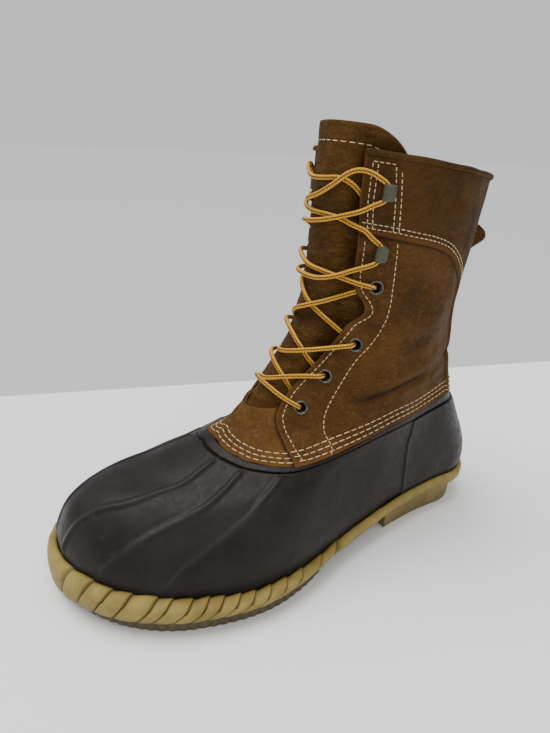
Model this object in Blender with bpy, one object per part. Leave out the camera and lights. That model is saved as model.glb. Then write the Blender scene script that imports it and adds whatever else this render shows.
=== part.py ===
"""Laced duck boot for the left foot: gum outsole, rubber bottom, leather shaft.

Metres, +Z up, toe towards -Y, outer (lateral) side towards +X, floor at z = 0.
Every curved piece is a set of offsets from one last surface, last(u, v):
u runs once around the boot, 0 at the heel, 0.25 outer side, 0.5 at the toe and
shin, 0.75 inner side; v climbs from the feather edge (0) to the collar (1).
"""
import math

import bpy
import bmesh
import numpy as np
from mathutils import Vector

# Driving sizes of the last
FOOT_LENGTH = 0.297
BALL_WIDTH = 0.114
INSTEP_HEIGHT = 0.081
COLLAR_HEIGHT = 0.251
SHAFT_WIDTH = 0.086

# Walls and clearances
GAP = 0.0003
SEAT_GAP = 0.0007
TOE_GAP = 0.0006
LIP_GAP = 0.0014
INSOLE_GAP = 0.0024
LEATHER = 0.0022
FLAP_STEP = 0.0014
PANEL_STEP = 0.0013
RUBBER = 0.0030
FLANGE_DEPTH = 0.0046
TONGUE_WALL = 0.0020
INSOLE_WALL = 0.0040
BINDING_WALL = 0.0013
BINDING_HEIGHT = 0.0055
COUNTER_STEP = 0.0007
RIDGE_HEIGHT = 0.0013
BAND_HEIGHT = 0.0065
GROOVE_DEPTH = 0.0012

# Heel and outsole
HEEL_HEIGHT = 0.0185
HEEL_INSET = 0.0035
HEEL_BREAST = 0.062
HEEL_CHAMFER = 0.0012
LUG_GROOVE = 0.0017
TREAD_INSET = 0.0050

# Eyelets, hooks and lace
EYELET_RADIUS = 0.0044
EYELET_HOLE = 0.0021
EYELET_BARREL = 0.0026
EYELET_FLANGE = 0.0008
HOOK_WIDTH = 0.0090
HOOK_LENGTH = 0.0130
HOOK_REACH = 0.0062
HOOK_PLATE = 0.0011
LACE_RADIUS = 0.0018
STRAND_LIFT = 0.0007
BACKSTAY_WIDTH = 0.017
BACKSTAY_WALL = 0.0016
BACKSTAY_CURL = 0.0075

# Rings of the last below the leather: v; front and back y as shares of the foot
# length; front and back z as shares of the instep height; half widths at the rear,
# middle, forepart and tip as shares of the ball width; roundness of the heel and
# toe ends as shares of the ring; how far the ring follows the sole's curve; and
# how far it follows the foot's inward swing
FOOT_RINGS = (
    # v, front_y, back_y, front_z, back_z, rear, middle, fore, tip, heel_end, toe_end, follow, swing
    (0.00, -0.481, 0.507, 0.210, 0.270, 0.302, 0.338, 0.474, 0.421, 0.11, 0.20, 1.00, 1.00),
    (0.06, -0.492, 0.519, 0.333, 0.383, 0.322, 0.355, 0.500, 0.447, 0.11, 0.20, 0.85, 1.00),
    (0.13, -0.485, 0.518, 0.494, 0.543, 0.324, 0.360, 0.496, 0.430, 0.11, 0.20, 0.65, 0.95),
    (0.19, -0.461, 0.506, 0.654, 0.691, 0.316, 0.355, 0.465, 0.386, 0.12, 0.22, 0.45, 0.85),
    (0.25, -0.411, 0.487, 0.778, 0.840, 0.306, 0.351, 0.425, 0.325, 0.14, 0.26, 0.25, 0.70),
    (0.32, -0.313, 0.467, 0.858, 0.975, 0.295, 0.346, 0.386, 0.289, 0.16, 0.32, 0.10, 0.55),
    (0.40, -0.178, 0.441, 1.000, 1.123, 0.285, 0.342, 0.351, 0.263, 0.20, 0.36, 0.00, 0.40),
)
# Rings of the shaft: heights as shares of the rise from instep to collar, widths
# as shares of the shaft width; the last ring lies above the collar, for the tongue
SHAFT_RINGS = (
    # v, front_y, back_y, front_z, back_z, rear, middle, fore, tip, heel_end, toe_end, follow, swing
    (0.50, -0.098, 0.424, 0.124, 0.159, 0.372, 0.448, 0.442, 0.343, 0.25, 0.40, 0.00, 0.25),
    (0.60, -0.030, 0.411, 0.276, 0.288, 0.372, 0.448, 0.442, 0.360, 0.32, 0.43, 0.00, 0.15),
    (0.72, 0.013, 0.406, 0.465, 0.447, 0.395, 0.459, 0.453, 0.384, 0.38, 0.46, 0.00, 0.05),
    (0.85, 0.030, 0.423, 0.724, 0.676, 0.442, 0.483, 0.477, 0.430, 0.44, 0.48, 0.00, 0.00),
    (1.00, 0.037, 0.444, 1.000, 0.912, 0.477, 0.500, 0.500, 0.465, 0.48, 0.50, 0.00, 0.00),
    (1.10, 0.040, 0.458, 1.147, 1.040, 0.500, 0.512, 0.512, 0.488, 0.49, 0.50, 0.00, 0.00),
)
# Where the half widths are given, as shares of the way from heel to toe, and how
# far the foot's middle line lies outwards there, as shares of the ball width
STATIONS = (0.0, 0.15, 0.40, 0.68, 0.90, 1.0)
SWING = (-0.070, -0.061, 0.018, 0.048, -0.018, -0.070)
SHAFT_SWING = -0.026
# The feather edge from heel to toe: share of the way, height over the instep height
FEATHER = (
    # along, height
    (0.00, 0.272),
    (0.15, 0.272),
    (0.30, 0.253),
    (0.42, 0.185),
    (0.55, 0.130),
    (0.70, 0.111),
    (0.85, 0.136),
    (1.00, 0.210),
)
# The outsole's edge from heel to toe: share of the way, underside of the rand and
# of the tread as shares of the heel height, how high the rand covers the rubber
# (in v), and how far it stands out as a share of the ball width
RAND = (
    # along, underside, tread, cover, stand_out
    (0.00, 1.08, 1.0, 0.055, 0.026),
    (0.15, 1.06, 1.0, 0.052, 0.024),
    (0.27, 1.02, 1.0, 0.034, 0.024),
    (0.32, 1.00, 1.0, 0.028, 0.027),
    (0.35, 0.86, 0.82, 0.028, 0.029),
    (0.40, 0.76, 0.70, 0.030, 0.033),
    (0.48, 0.66, 0.40, 0.034, 0.040),
    (0.56, 0.56, 0.04, 0.038, 0.050),
    (0.64, 0.50, 0.00, 0.043, 0.064),
    (0.75, 0.50, 0.00, 0.050, 0.074),
    (0.88, 0.52, 0.02, 0.056, 0.076),
    (0.96, 0.48, 0.12, 0.058, 0.066),
    (1.00, 0.36, 0.18, 0.060, 0.056),
)
# Where the rand's rope lugs meet along the outer side, in u, toe first; the inner
# side mirrors them
LUG_EDGES = (0.459, 0.433, 0.415, 0.398, 0.379, 0.369, 0.355, 0.344,
             0.334, 0.323, 0.313, 0.302, 0.290, 0.277, 0.259, 0.244)
LUG_SLANT = 0.012
# Lower edge of the leather around the boot: u, v, mirrored on the inner side
LEATHER_EDGE = (
    # u, v
    (0.00, 0.392),
    (0.07, 0.398),
    (0.12, 0.412),
    (0.18, 0.405),
    (0.22, 0.402),
    (0.27, 0.378),
    (0.32, 0.352),
    (0.36, 0.357),
    (0.41, 0.378),
    (0.45, 0.393),
    (0.50, 0.405),
)
# Front edge of the lace flaps, with the notch between the third and fourth eyelet
FLAP_EDGE = (
    # v, u
    (0.34, 0.320),
    (0.362, 0.332),
    (0.400, 0.360),
    (0.438, 0.385),
    (0.470, 0.402),
    (0.503, 0.410),
    (0.532, 0.413),
    (0.560, 0.408),
    (0.588, 0.400),
    (0.618, 0.391),
    (0.655, 0.379),
    (0.695, 0.367),
    (0.710, 0.350),
    (0.722, 0.344),
    (0.740, 0.352),
    (0.758, 0.370),
    (0.778, 0.379),
    (0.828, 0.382),
    (0.860, 0.386),
    (0.910, 0.393),
    (1.000, 0.395),
)
# Lower edge of the collar panel, which turns down into the back strap
PANEL_EDGE = (
    # u, v
    (0.100, 0.740),
    (0.112, 0.770),
    (0.140, 0.797),
    (0.171, 0.818),
    (0.199, 0.835),
    (0.233, 0.852),
    (0.268, 0.862),
    (0.300, 0.866),
    (0.400, 0.868),
)
STRAP_EDGE = 0.100
THROAT_V = 0.492
# The three moulded ridges of each side of the vamp: u at the leather and at the toe
RIDGES = (
    # at_leather, at_toe
    (0.326, 0.370),
    (0.368, 0.420),
    (0.418, 0.478),
)
COUNTER_SEAM = 0.175
# u columns shared by the pieces that lie on each other, from the heel to the quarter
SIDE_COLUMNS = (0.0, 0.032, 0.064, 0.096, 0.104, 0.13, 0.16, 0.19, 0.22, 0.25)
# Eyelets from the toe up, then hooks: u, v on the outer side
EYELETS = ((0.374, 0.498), (0.368, 0.572), (0.344, 0.648), (0.338, 0.768))
HOOKS = ((0.338, 0.825), (0.345, 0.928))
TONGUE_BOTTOM = 0.478
TONGUE_TOP = 1.045

COLOURS = {
    # colour, roughness, metallic
    "leather": ((0.155, 0.078, 0.030, 1.0), 0.75, 0.0),
    "leather_edge": ((0.30, 0.12, 0.04, 1.0), 0.8, 0.0),
    "rubber": ((0.030, 0.023, 0.020, 1.0), 0.45, 0.0),
    "gum": ((0.42, 0.30, 0.085, 1.0), 0.6, 0.0),
    "brass": ((0.16, 0.14, 0.08, 1.0), 0.4, 0.9),
    "hook": ((0.10, 0.10, 0.055, 1.0), 0.5, 0.6),
    "lace": ((0.62, 0.34, 0.07, 1.0), 0.8, 0.0),
    "felt": ((0.16, 0.13, 0.10, 1.0), 0.95, 0.0),
}


def smooth(x, knots, values):
    """Smooth curve or surface rows through values at rising knots."""
    knots = np.asarray(knots, float)
    values = np.asarray(values, float)
    x = np.clip(np.asarray(x, float), knots[0], knots[-1])
    i = np.clip(np.searchsorted(knots, x, side="right") - 1, 0, len(knots) - 2)
    slopes = np.gradient(values, knots, axis=0)
    step = knots[i + 1] - knots[i]
    s = (x - knots[i]) / step
    if values.ndim > 1:
        k = np.arange(values.shape[1])
        start, end = values[i, k], values[i + 1, k]
        rise, fall = slopes[i, k], slopes[i + 1, k]
        s = s[:, None]
        step = step[:, None]
    else:
        start, end, rise, fall = values[i], values[i + 1], slopes[i], slopes[i + 1]
    s2 = s * s
    s3 = s2 * s
    return ((2 * s3 - 3 * s2 + 1) * start + (s3 - 2 * s2 + s) * step * rise
            + (3 * s2 - 2 * s3) * end + (s3 - s2) * step * fall)


def columns(table):
    """The columns of a table, as arrays."""
    return [np.array(c, float) for c in zip(*table)]


def sized_rings():
    """Both ring tables in metres: v, y, y, z, z, half widths, shape numbers."""
    rows = []
    rise = COLLAR_HEIGHT - INSTEP_HEIGHT
    for table, base, height, width in ((FOOT_RINGS, 0.0, INSTEP_HEIGHT, BALL_WIDTH),
                                       (SHAFT_RINGS, INSTEP_HEIGHT, rise, SHAFT_WIDTH)):
        for v, fy, by, fz, bz, rear, middle, fore, tip, heel, toe, follow, swing in table:
            rows.append((v, fy * FOOT_LENGTH, by * FOOT_LENGTH, base + fz * height,
                         base + bz * height, rear * width, middle * width, fore * width,
                         tip * width, heel, toe, follow, swing))
    return rows


RINGS = sized_rings()
RING_V = [row[0] for row in RINGS]
HEEL_Y = FOOT_RINGS[0][2] * FOOT_LENGTH
TOE_Y = FOOT_RINGS[0][1] * FOOT_LENGTH


def along(y):
    """Share of the way from heel to toe at y."""
    return np.clip((HEEL_Y - y) / (HEEL_Y - TOE_Y), 0.0, 1.0)


def feather_rise(y):
    """How far the feather edge departs from the straight line of its ends."""
    share, height = columns(FEATHER)
    line = height[0] + (height[-1] - height[0]) * along(y)
    return (smooth(along(y), share, height) - line) * INSTEP_HEIGHT


def ring_points(row, u):
    """Points of one ring of the last, in metres."""
    v, fy, by, fz, bz, rear, middle, fore, tip, heel_end, toe_end, follow, swing = row
    angle = 2 * np.pi * u
    t = (1 - np.cos(angle)) / 2
    y = by + (fy - by) * t
    z = bz + (fz - bz) * t + follow * feather_rise(y)
    width = smooth(t, STATIONS, (rear, rear, middle, fore, tip, tip))
    heel_cap = np.sqrt(np.clip(1 - (1 - np.minimum(t / heel_end, 1)) ** 2, 0, 1))
    toe_cap = np.sqrt(np.clip(1 - (1 - np.minimum((1 - t) / toe_end, 1)) ** 2, 0, 1))
    centre = swing * smooth(t, STATIONS, SWING) + (1 - swing) * SHAFT_SWING
    side = np.where(np.sin(angle) >= 0, 1.0, -1.0)
    x = centre * BALL_WIDTH + side * width * heel_cap * toe_cap
    return np.stack([x, y, z], 1)


def paired(u, v):
    """u and v as flat arrays of one length."""
    u, v = np.broadcast_arrays(np.asarray(u, float), np.asarray(v, float))
    return u.ravel(), v.ravel()


def last(u, v):
    """Points of the last surface."""
    u, v = paired(u, v)
    u = np.mod(u, 1.0)
    rows = np.stack([ring_points(row, u) for row in RINGS])
    return smooth(v, RING_V, rows)


def normal(u, v):
    """Outward unit normals of the last surface."""
    u, v = paired(u, v)
    e = 0.001
    around = last(u + e, v) - last(u - e, v)
    up = last(u, np.minimum(v + e, RING_V[-1])) - last(u, np.maximum(v - e, 0))
    n = np.cross(up, around)
    return n / np.linalg.norm(n, axis=1)[:, None]


def offset(u, v, d):
    """Points at distance d outside the last surface."""
    d = np.broadcast_to(np.asarray(d, float), np.shape(u))
    return last(u, v) + normal(u, v) * d.ravel()[:, None]


def outward(u):
    """Level outward directions of the feather edge."""
    e = 0.002
    around = last(u + e, 0.03) - last(u - e, 0.03)
    n = np.stack([-around[:, 1], around[:, 0], np.zeros(len(around))], 1)
    return n / np.linalg.norm(n, axis=1)[:, None]


def mirrored(u):
    """Fold u onto the outer side, for what is alike on both sides."""
    u = np.mod(u, 1.0)
    return np.minimum(u, 1.0 - u)


def leather_edge(u):
    """v of the leather's lower edge."""
    at, v = columns(LEATHER_EDGE)
    return smooth(mirrored(u), at, v)


def flap_edge(v):
    """u of the outer lace flap's front edge."""
    at, u = columns(FLAP_EDGE)
    return np.interp(v, at, u)


def panel_edge(u):
    """v of the collar panel's lower edge."""
    at, v = columns(PANEL_EDGE)
    return np.interp(mirrored(u), at, v)


def rise_in_v(u, v, height):
    """The step in v that climbs the given height along the surface."""
    e = 0.01
    climb = np.linalg.norm(last(u, v + e) - last(u, v), axis=1) / e
    return height / climb


def lug_lines():
    """u of all lug edges, from the outer waist around the toe to the inner waist."""
    outer = list(LUG_EDGES)[::-1]
    return outer + [1.0 - u for u in LUG_EDGES]


def rand_columns():
    """u columns of the outsole: three to a lug, even ones elsewhere."""
    lines = lug_lines()
    cols = []
    for start, end in zip(lines[:-1], lines[1:]):
        cols.append((start, 1.0, 1.0))
        shares = (0.25, 0.75) if end - start < 0.05 else (0.10, 0.30, 0.50, 0.70, 0.90)
        for share in shares:
            cols.append((start + (end - start) * share, 0.0, 1.0))
    cols.append((lines[-1], 1.0, 1.0))
    for u in SIDE_COLUMNS:
        if u < lines[0] - 0.01:
            cols.append((u, 0.0, 0.0))
            if u > 0:
                cols.append((1.0 - u, 0.0, 0.0))
    cols.sort()
    return columns(cols)


def outsole_rows(origin):
    """Loops of the outsole's edge, from the seat of the shell out and down."""
    u, groove, rope = rand_columns()
    foot = last(u, 0.0)
    share, under, tread, cover, stand = columns(RAND)
    way = along(foot[:, 1])
    under_z = smooth(way, share, under) * HEEL_HEIGHT
    tread_z = np.interp(way, share, tread) * HEEL_HEIGHT
    cover_v = smooth(way, share, cover)
    out = smooth(way, share, stand) * BALL_WIDTH
    # the slant turns over at the toe, so both sides lean the same way on the boot
    lean = LUG_SLANT * rope * np.clip((0.5 - np.mod(u, 1.0)) / 0.06, -1, 1)
    top_z = last(u, cover_v)[:, 2]

    def at(slant, v, distance, z, bite):
        moved = u + lean * slant
        base = last(moved, v)
        push = distance - groove * bite
        point = base + outward(moved) * push[:, None]
        point[:, 2] = z
        return point - origin

    tall = top_z - under_z
    deep = LUG_GROOVE
    seat = SEAT_GAP + COUNTER_STEP * (mirrored(u) < COUNTER_SEAM + 0.02) + TOE_GAP * rope
    return [
        at(0.0, 0.0, seat, foot[:, 2] - GAP, 0.0),
        offset(u, cover_v, seat) - origin,
        at(0.0, cover_v, out * 0.55, top_z - 0.0004 - groove * deep * 0.5, 0.0),
        at(0.35, 0.04, out, top_z - tall * 0.32, deep),
        at(0.70, 0.04, out, top_z - tall * 0.72, deep),
        at(1.0, 0.04, out * 0.80, under_z, deep),
        at(0.5, 0.04, out - TREAD_INSET, under_z + 0.0004, 0.0),
        at(0.0, 0.04, out - TREAD_INSET - 0.0006, tread_z, 0.0),
    ]


def find_origin():
    """The middle of the outsole's outline, which becomes the part's origin."""
    rows = np.concatenate(outsole_rows(np.zeros(3)))
    low = rows.min(0)
    high = rows.max(0)
    return np.array([(low[0] + high[0]) / 2, (low[1] + high[1]) / 2, 0.0])


ORIGIN = find_origin()


def clear_scene():
    """Remove whatever the scene holds."""
    for thing in list(bpy.data.objects):
        bpy.data.objects.remove(thing, do_unlink=True)


def material(name):
    """The named plain material, made once."""
    found = bpy.data.materials.get(name)
    if found:
        return found
    colour, roughness, metallic = COLOURS[name]
    made = bpy.data.materials.new(name)
    made.use_nodes = True
    shader = made.node_tree.nodes["Principled BSDF"]
    shader.inputs["Base Color"].default_value = colour
    shader.inputs["Roughness"].default_value = roughness
    shader.inputs["Metallic"].default_value = metallic
    made.diffuse_color = colour
    return made


def collection(name):
    """The named collection, linked to the scene once."""
    found = bpy.data.collections.get(name)
    if not found:
        found = bpy.data.collections.new(name)
        bpy.context.scene.collection.children.link(found)
    return found


def add_object(name, points, faces, look):
    """One named mesh object with outward faces."""
    mesh = bpy.data.meshes.new(name)
    mesh.from_pydata([tuple(p) for p in points], [], faces)
    work = bmesh.new()
    work.from_mesh(mesh)
    bmesh.ops.recalc_face_normals(work, faces=work.faces)
    work.to_mesh(mesh)
    work.free()
    mesh.materials.append(material(look))
    made = bpy.data.objects.new(name, mesh)
    collection("duck_boot").objects.link(made)
    return made


def thick_grid(name, outer, inner, keep, wrap, look):
    """A closed wall between two grids of points, over the cells that are kept."""
    rows, cols = outer.shape[:2]
    count = rows * cols
    points = np.concatenate([outer.reshape(-1, 3), inner.reshape(-1, 3)]) - ORIGIN
    used = {}
    chosen = []
    faces = []

    def vertex(r, c, layer):
        key = layer * count + r * cols + c % cols
        if key not in used:
            used[key] = len(chosen)
            chosen.append(points[key])
        return used[key]

    def kept(r, c):
        if wrap:
            c = c % cols
        elif c < 0 or c >= cols - 1:
            return False
        return 0 <= r < rows - 1 and keep[r][c]

    for r in range(rows - 1):
        for c in range(cols if wrap else cols - 1):
            if not kept(r, c):
                continue
            corners = ((r, c), (r, c + 1), (r + 1, c + 1), (r + 1, c))
            faces.append([vertex(i, j, 0) for i, j in corners])
            faces.append([vertex(i, j, 1) for i, j in reversed(corners)])
            for k, (dr, dc) in enumerate(((-1, 0), (0, 1), (1, 0), (0, -1))):
                if kept(r + dr, c + dc):
                    continue
                a = corners[k]
                b = corners[(k + 1) % 4]
                faces.append([vertex(*a, 0), vertex(*a, 1), vertex(*b, 1), vertex(*b, 0)])
    return add_object(name, chosen, faces, look)


def rubber_shell():
    """The moulded rubber bottom: open below, with a flange inside the leather."""
    base = np.array(SIDE_COLUMNS + (COUNTER_SEAM - 0.003, COUNTER_SEAM + 0.003, 0.27, 0.295))
    for ridge, _ in RIDGES:
        base = np.append(base, [ridge - 0.012, ridge, ridge + 0.012])
    base = np.unique(np.append(base, [0.444, 0.463, 0.482]))
    cols = np.concatenate([base, [0.5], 1.0 - base[:0:-1]])
    at_leather = [0.0, SIDE_COLUMNS[-2]] + [r[0] for r in RIDGES] + [0.5]
    at_toe = [0.0, SIDE_COLUMNS[-2]] + [r[1] for r in RIDGES] + [0.5]
    edge = leather_edge(cols)
    band = edge - rise_in_v(cols, edge, BAND_HEIGHT)
    lip = edge - rise_in_v(cols, edge, LIP_GAP)
    tuck = edge + rise_in_v(cols, edge, 0.015)
    groove_v = rise_in_v(cols, edge, 0.0012)
    folded = mirrored(cols)
    toe_u = np.interp(folded, at_leather, at_toe)
    shares = (0.0, 0.14, 0.30, 0.47, 0.64, 0.80, 0.92)
    rows = [band * share for share in shares]
    rows += [band - groove_v, band, band + groove_v, lip, lip + groove_v * 0.3, tuck]
    sunk = FLANGE_DEPTH - RUBBER
    depth_in = [RUBBER] * 9 + [RUBBER + sunk * share for share in (0.5, 0.87, 1.0, 1.0)]
    outer = []
    inner = []
    on_ridge = np.zeros(len(cols), bool)
    for ridge, _ in RIDGES:
        on_ridge |= np.isclose(folded, ridge)
    for i, v in enumerate(rows):
        low = np.clip(1.0 - v / 0.34, 0.0, 1.0)
        moved = folded + (toe_u - folded) * low
        u = np.where(cols <= 0.5, moved, 1.0 - moved)
        fade = np.clip(min(i, 7 - i) / 1.5, 0.0, 1.0) if i < 8 else 0.0
        d = on_ridge * RIDGE_HEIGHT * fade
        d = d + (folded < COUNTER_SEAM) * COUNTER_STEP * (i < 8)
        vamp = vamp_share(cols)
        if i == 8:
            d = d - GROOVE_DEPTH
        elif i in (9, 10):
            d = d - 0.0003 - 0.0012 * vamp
        elif i > 10:
            d = d - LEATHER - SEAT_GAP - 0.0002 - FLAP_STEP * vamp
        outer.append(offset(u, v, d))
        sink = FLAP_STEP * vamp if i > 8 else 0.0
        inner.append(offset(u, v, -depth_in[i] - sink))
    outer = np.array(outer)
    inner = np.array(inner)
    keep = np.ones((len(rows), len(cols)), bool)
    return thick_grid("rubber_shell", outer, inner, keep, True, "rubber")


def vamp_share(u):
    """1 on the vamp between the flaps' lower ends, 0 on the quarters."""
    return np.clip((mirrored(u) - 0.312) / 0.010, 0.0, 1.0)


def upper_grid():
    """Columns, rows and offsets of the leather upper."""
    fixed = SIDE_COLUMNS[-1]
    side = list(SIDE_COLUMNS) + [0.28, 0.31, 0.335, 0.36, 0.379]
    edge_base = 0.380
    front = [0.386, 0.41, 0.44, 0.47]
    half = side + [edge_base] + front
    cols = np.array(half + [0.5] + [1.0 - b for b in half[:0:-1]])
    low_rows = [0.0, 0.04, 0.09, 0.145, 0.20, 0.28, 0.37, 0.47, 0.57, 0.645, 0.685, 0.708,
                0.735, 0.775, 0.81, 0.87, 0.94, 0.997]
    high_rows = [0.0, 0.24, 0.60, 1.0]
    folded = mirrored(cols)
    throat_row = 4

    def warped(v):
        edge = flap_edge(v)
        behind = np.where(folded <= fixed, folded,
                          fixed + (folded - fixed) * (edge - fixed) / (edge_base - fixed))
        ahead = 0.5 - (0.5 - folded) * (0.5 - edge) / (0.5 - edge_base)
        moved = np.where(folded <= edge_base, behind, ahead)
        return np.where(cols <= 0.5, moved, 1.0 - moved)

    rows_u = []
    rows_v = []
    raised = []
    for share in low_rows:
        bottom = leather_edge(cols)
        v = bottom + (0.868 - bottom) * share
        u = warped(v)
        for _ in range(3):
            bottom = leather_edge(u)
            v = bottom + (panel_edge(u) - bottom) * share
            u = warped(v)
        rows_u.append(u)
        rows_v.append(v)
        raised.append(mirrored(cols) < STRAP_EDGE)
    for share in high_rows:
        u = warped(np.full(len(cols), 0.868))
        for _ in range(3):
            v = panel_edge(u) + (1.0 - panel_edge(u)) * share
            u = warped(v)
        rows_u.append(u)
        rows_v.append(v)
        raised.append(np.ones(len(cols), bool))
    rows_u = np.array(rows_u)
    rows_v = np.array(rows_v)
    on_vamp = np.broadcast_to(folded > edge_base + 0.001, rows_u.shape)
    d_out = np.array(raised) * PANEL_STEP - on_vamp * FLAP_STEP
    keep = np.ones(rows_u.shape, bool)
    for c in range(len(cols)):
        a, b = cols[c], cols[(c + 1) % len(cols)]
        if a >= edge_base - 0.0001 and b <= 1.0 - edge_base + 0.0001 and b > a:
            keep[throat_row:, c] = False
    return rows_u, rows_v, d_out, on_vamp, keep


def upper():
    """The leather: vamp front, quarters, collar panel and back strap in one wall."""
    u, v, d_out, on_vamp, keep = upper_grid()
    shape = u.shape
    outer = offset(u, v, d_out).reshape(*shape, 3)
    inner = offset(u, v, -LEATHER - on_vamp * FLAP_STEP).reshape(*shape, 3)
    made = thick_grid("upper", outer, inner, keep, True, "leather")
    cut_eyelets(made)
    return made


def frame_at(u, v):
    """Point, outward normal, rearward and upward directions on the outer surface."""
    point = last([u], [v])[0] - ORIGIN
    out = normal([u], [v])[0]
    up = last([u], [v + 0.01])[0] - last([u], [v - 0.01])[0]
    up = up - out * up.dot(out)
    up = up / np.linalg.norm(up)
    side = 1.0 if u < 0.5 else -1.0
    rear = np.cross(out, up) * -side
    if rear[1] < 0:
        rear = -rear
    return point, out, rear, up


def sides(u):
    """The place on the outer side and its mirror on the inner side."""
    return (("lateral", u), ("medial", 1.0 - u))


def cut_eyelets(target):
    """Cut the eyelets' holes through the leather."""
    cutters = collection("cutters")
    for i, (u, v) in enumerate(EYELETS):
        for side, at in sides(u):
            point, out, rear, up = frame_at(at, v)
            bpy.ops.mesh.primitive_cylinder_add(vertices=10, radius=EYELET_BARREL + GAP,
                                                depth=0.016)
            cutter = bpy.context.object
            cutter.name = f"cut_eyelet_{side}_{i + 1}"
            cutter.location = point
            cutter.rotation_mode = "QUATERNION"
            cutter.rotation_quaternion = Vector(out).to_track_quat("Z", "Y")
            for home in list(cutter.users_collection):
                home.objects.unlink(cutter)
            cutters.objects.link(cutter)
            cutter.hide_render = True
            cutter.display_type = "WIRE"
            cut = target.modifiers.new(cutter.name, "BOOLEAN")
            cut.operation = "DIFFERENCE"
            cut.solver = "EXACT"
            cut.object = cutter


def lathe(name, point, axis, profile, steps, look):
    """A turned ring: profile pairs are radius and height along the axis."""
    turn = Vector(axis).to_track_quat("Z", "Y")
    points = []
    for i in range(steps):
        angle = 2 * math.pi * i / steps
        for radius, height in profile:
            local = Vector((radius * math.cos(angle), radius * math.sin(angle), height))
            points.append(Vector(point) + turn @ local)
    n = len(profile)
    faces = []
    for i in range(steps):
        j = (i + 1) % steps
        for k in range(n):
            m = (k + 1) % n
            faces.append([i * n + k, j * n + k, j * n + m, i * n + m])
    return add_object(name, points, faces, look)


def eyelets():
    """Rolled brass eyelets, through the leather from both faces."""
    top = GAP + EYELET_FLANGE
    back = -LEATHER - 0.0007
    profile = (
        # radius, height
        (EYELET_HOLE, top),
        (EYELET_RADIUS, GAP + EYELET_FLANGE * 0.5),
        (EYELET_RADIUS, GAP),
        (EYELET_BARREL, GAP),
        (EYELET_BARREL, back),
        (EYELET_RADIUS * 0.85, back),
        (EYELET_RADIUS * 0.80, back - 0.0005),
        (EYELET_HOLE, back - 0.0005),
    )
    for i, (u, v) in enumerate(EYELETS):
        for side, at in sides(u):
            point, out, rear, up = frame_at(at, v)
            lathe(f"eyelet_{side}_{i + 1}", point, out, profile, 10, "brass")


def hooks():
    """Speed hooks: bent plates, open to the rear, closed towards the throat."""
    foot = GAP + 0.0001
    reach = foot + HOOK_REACH
    half = HOOK_WIDTH / 2
    profile = (
        # rearward, outward
        (-half, foot),
        (half, foot),
        (half, foot + HOOK_PLATE),
        (-half + HOOK_PLATE, foot + HOOK_PLATE),
        (-half + HOOK_PLATE, reach - HOOK_PLATE),
        (half * 0.9, reach - HOOK_PLATE),
        (half * 0.9, reach),
        (-half, reach),
    )
    count = len(profile)
    for i, (u, v) in enumerate(HOOKS):
        for side, at in sides(u):
            point, out, rear, up = frame_at(at, v)
            lift = 0.0002 + (PANEL_STEP + 0.0003 if i == 1 else 0.0)
            points = []
            for end in (-0.5, 0.5):
                for back, high in profile:
                    taper = 1.0 if back < 0 or high < reach / 2 else 0.75
                    points.append(point + rear * back + out * (high + lift)
                                  + up * end * HOOK_LENGTH * taper)
            faces = [list(range(count)), list(range(2 * count - 1, count - 1, -1))]
            for k in range(count):
                m = (k + 1) % count
                faces.append([k, m, m + count, k + count])
            add_object(f"hook_{side}_{i + 1}", points, faces, "hook")


def tongue():
    """The tongue: behind the vamp, between the flaps, and above the collar."""
    half_across = [0.18, 0.36, 0.52, 0.68, 0.84, 1.0]
    across = np.array([-a for a in half_across[::-1]] + [0.0] + half_across)
    climb = np.array([0.0, 0.07, 0.13, 0.22, 0.33, 0.45, 0.57, 0.69, 0.80, 0.90, 0.96, 1.0])
    outer = []
    inner = []
    for share in climb:
        half = 0.145 + 0.040 * share
        drop = 0.055 * np.clip((np.abs(across) - 0.45) / 0.55, 0, 1) ** 2
        v = TONGUE_BOTTOM + (TONGUE_TOP - drop - TONGUE_BOTTOM) * share
        u = 0.5 + across * half
        inside = 1.0 - np.clip((v - THROAT_V - 0.010) / 0.04, 0, 1)
        flank = np.clip((np.abs(across) * half - 0.075) / 0.030, 0, 1)
        deep = LEATHER + FLAP_STEP + GAP + 0.0004
        free = LEATHER + 0.0002
        sunk = LEATHER + BINDING_WALL + 0.0011
        d = free + (deep - free) * inside
        d = np.maximum(d, free + (sunk - free) * flank)
        outer.append(offset(u, v, -d))
        inner.append(offset(u, v, -d - TONGUE_WALL))
    keep = np.ones((len(climb), len(across)), bool)
    return thick_grid("tongue", np.array(outer), np.array(inner), keep, False, "leather")


def collar_binding():
    """The rolled binding, a channel over the collar from flap to flap."""
    u, v, d_out, on_vamp, keep = upper_grid()
    top = u[-1][keep[-2] | np.roll(keep[-2], 1)]
    cols = np.sort(np.where(top > 0.5, top - 1.0, top))
    high = rise_in_v(cols, np.full(len(cols), 0.985), 1.0)
    out = PANEL_STEP + GAP
    side = out + BINDING_WALL
    deep = -LEATHER - GAP
    low = -BINDING_HEIGHT * 0.75
    profile = (
        # outward, above_collar
        (side, low),
        (side + 0.0004, low * 0.3),
        (side * 0.7, BINDING_WALL * 1.2),
        (deep * 0.7, BINDING_WALL * 1.2),
        (deep - BINDING_WALL, low * 0.3),
        (deep - BINDING_WALL, low),
        (deep, low),
        (deep, GAP),
        (out, GAP),
        (out, low),
    )
    rows = [offset(cols, 1.0 + rise * high, d) for d, rise in profile]
    count = len(profile)
    points = np.array(rows).transpose(1, 0, 2).reshape(-1, 3) - ORIGIN
    faces = []
    for i in range(len(cols) - 1):
        for k in range(count):
            m = (k + 1) % count
            faces.append([i * count + k, i * count + m, (i + 1) * count + m, (i + 1) * count + k])
    end = (len(cols) - 1) * count
    faces.append(list(range(count)))
    faces.append([end + k for k in range(count)][::-1])
    return add_object("collar_binding", points, faces, "leather_edge")


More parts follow.
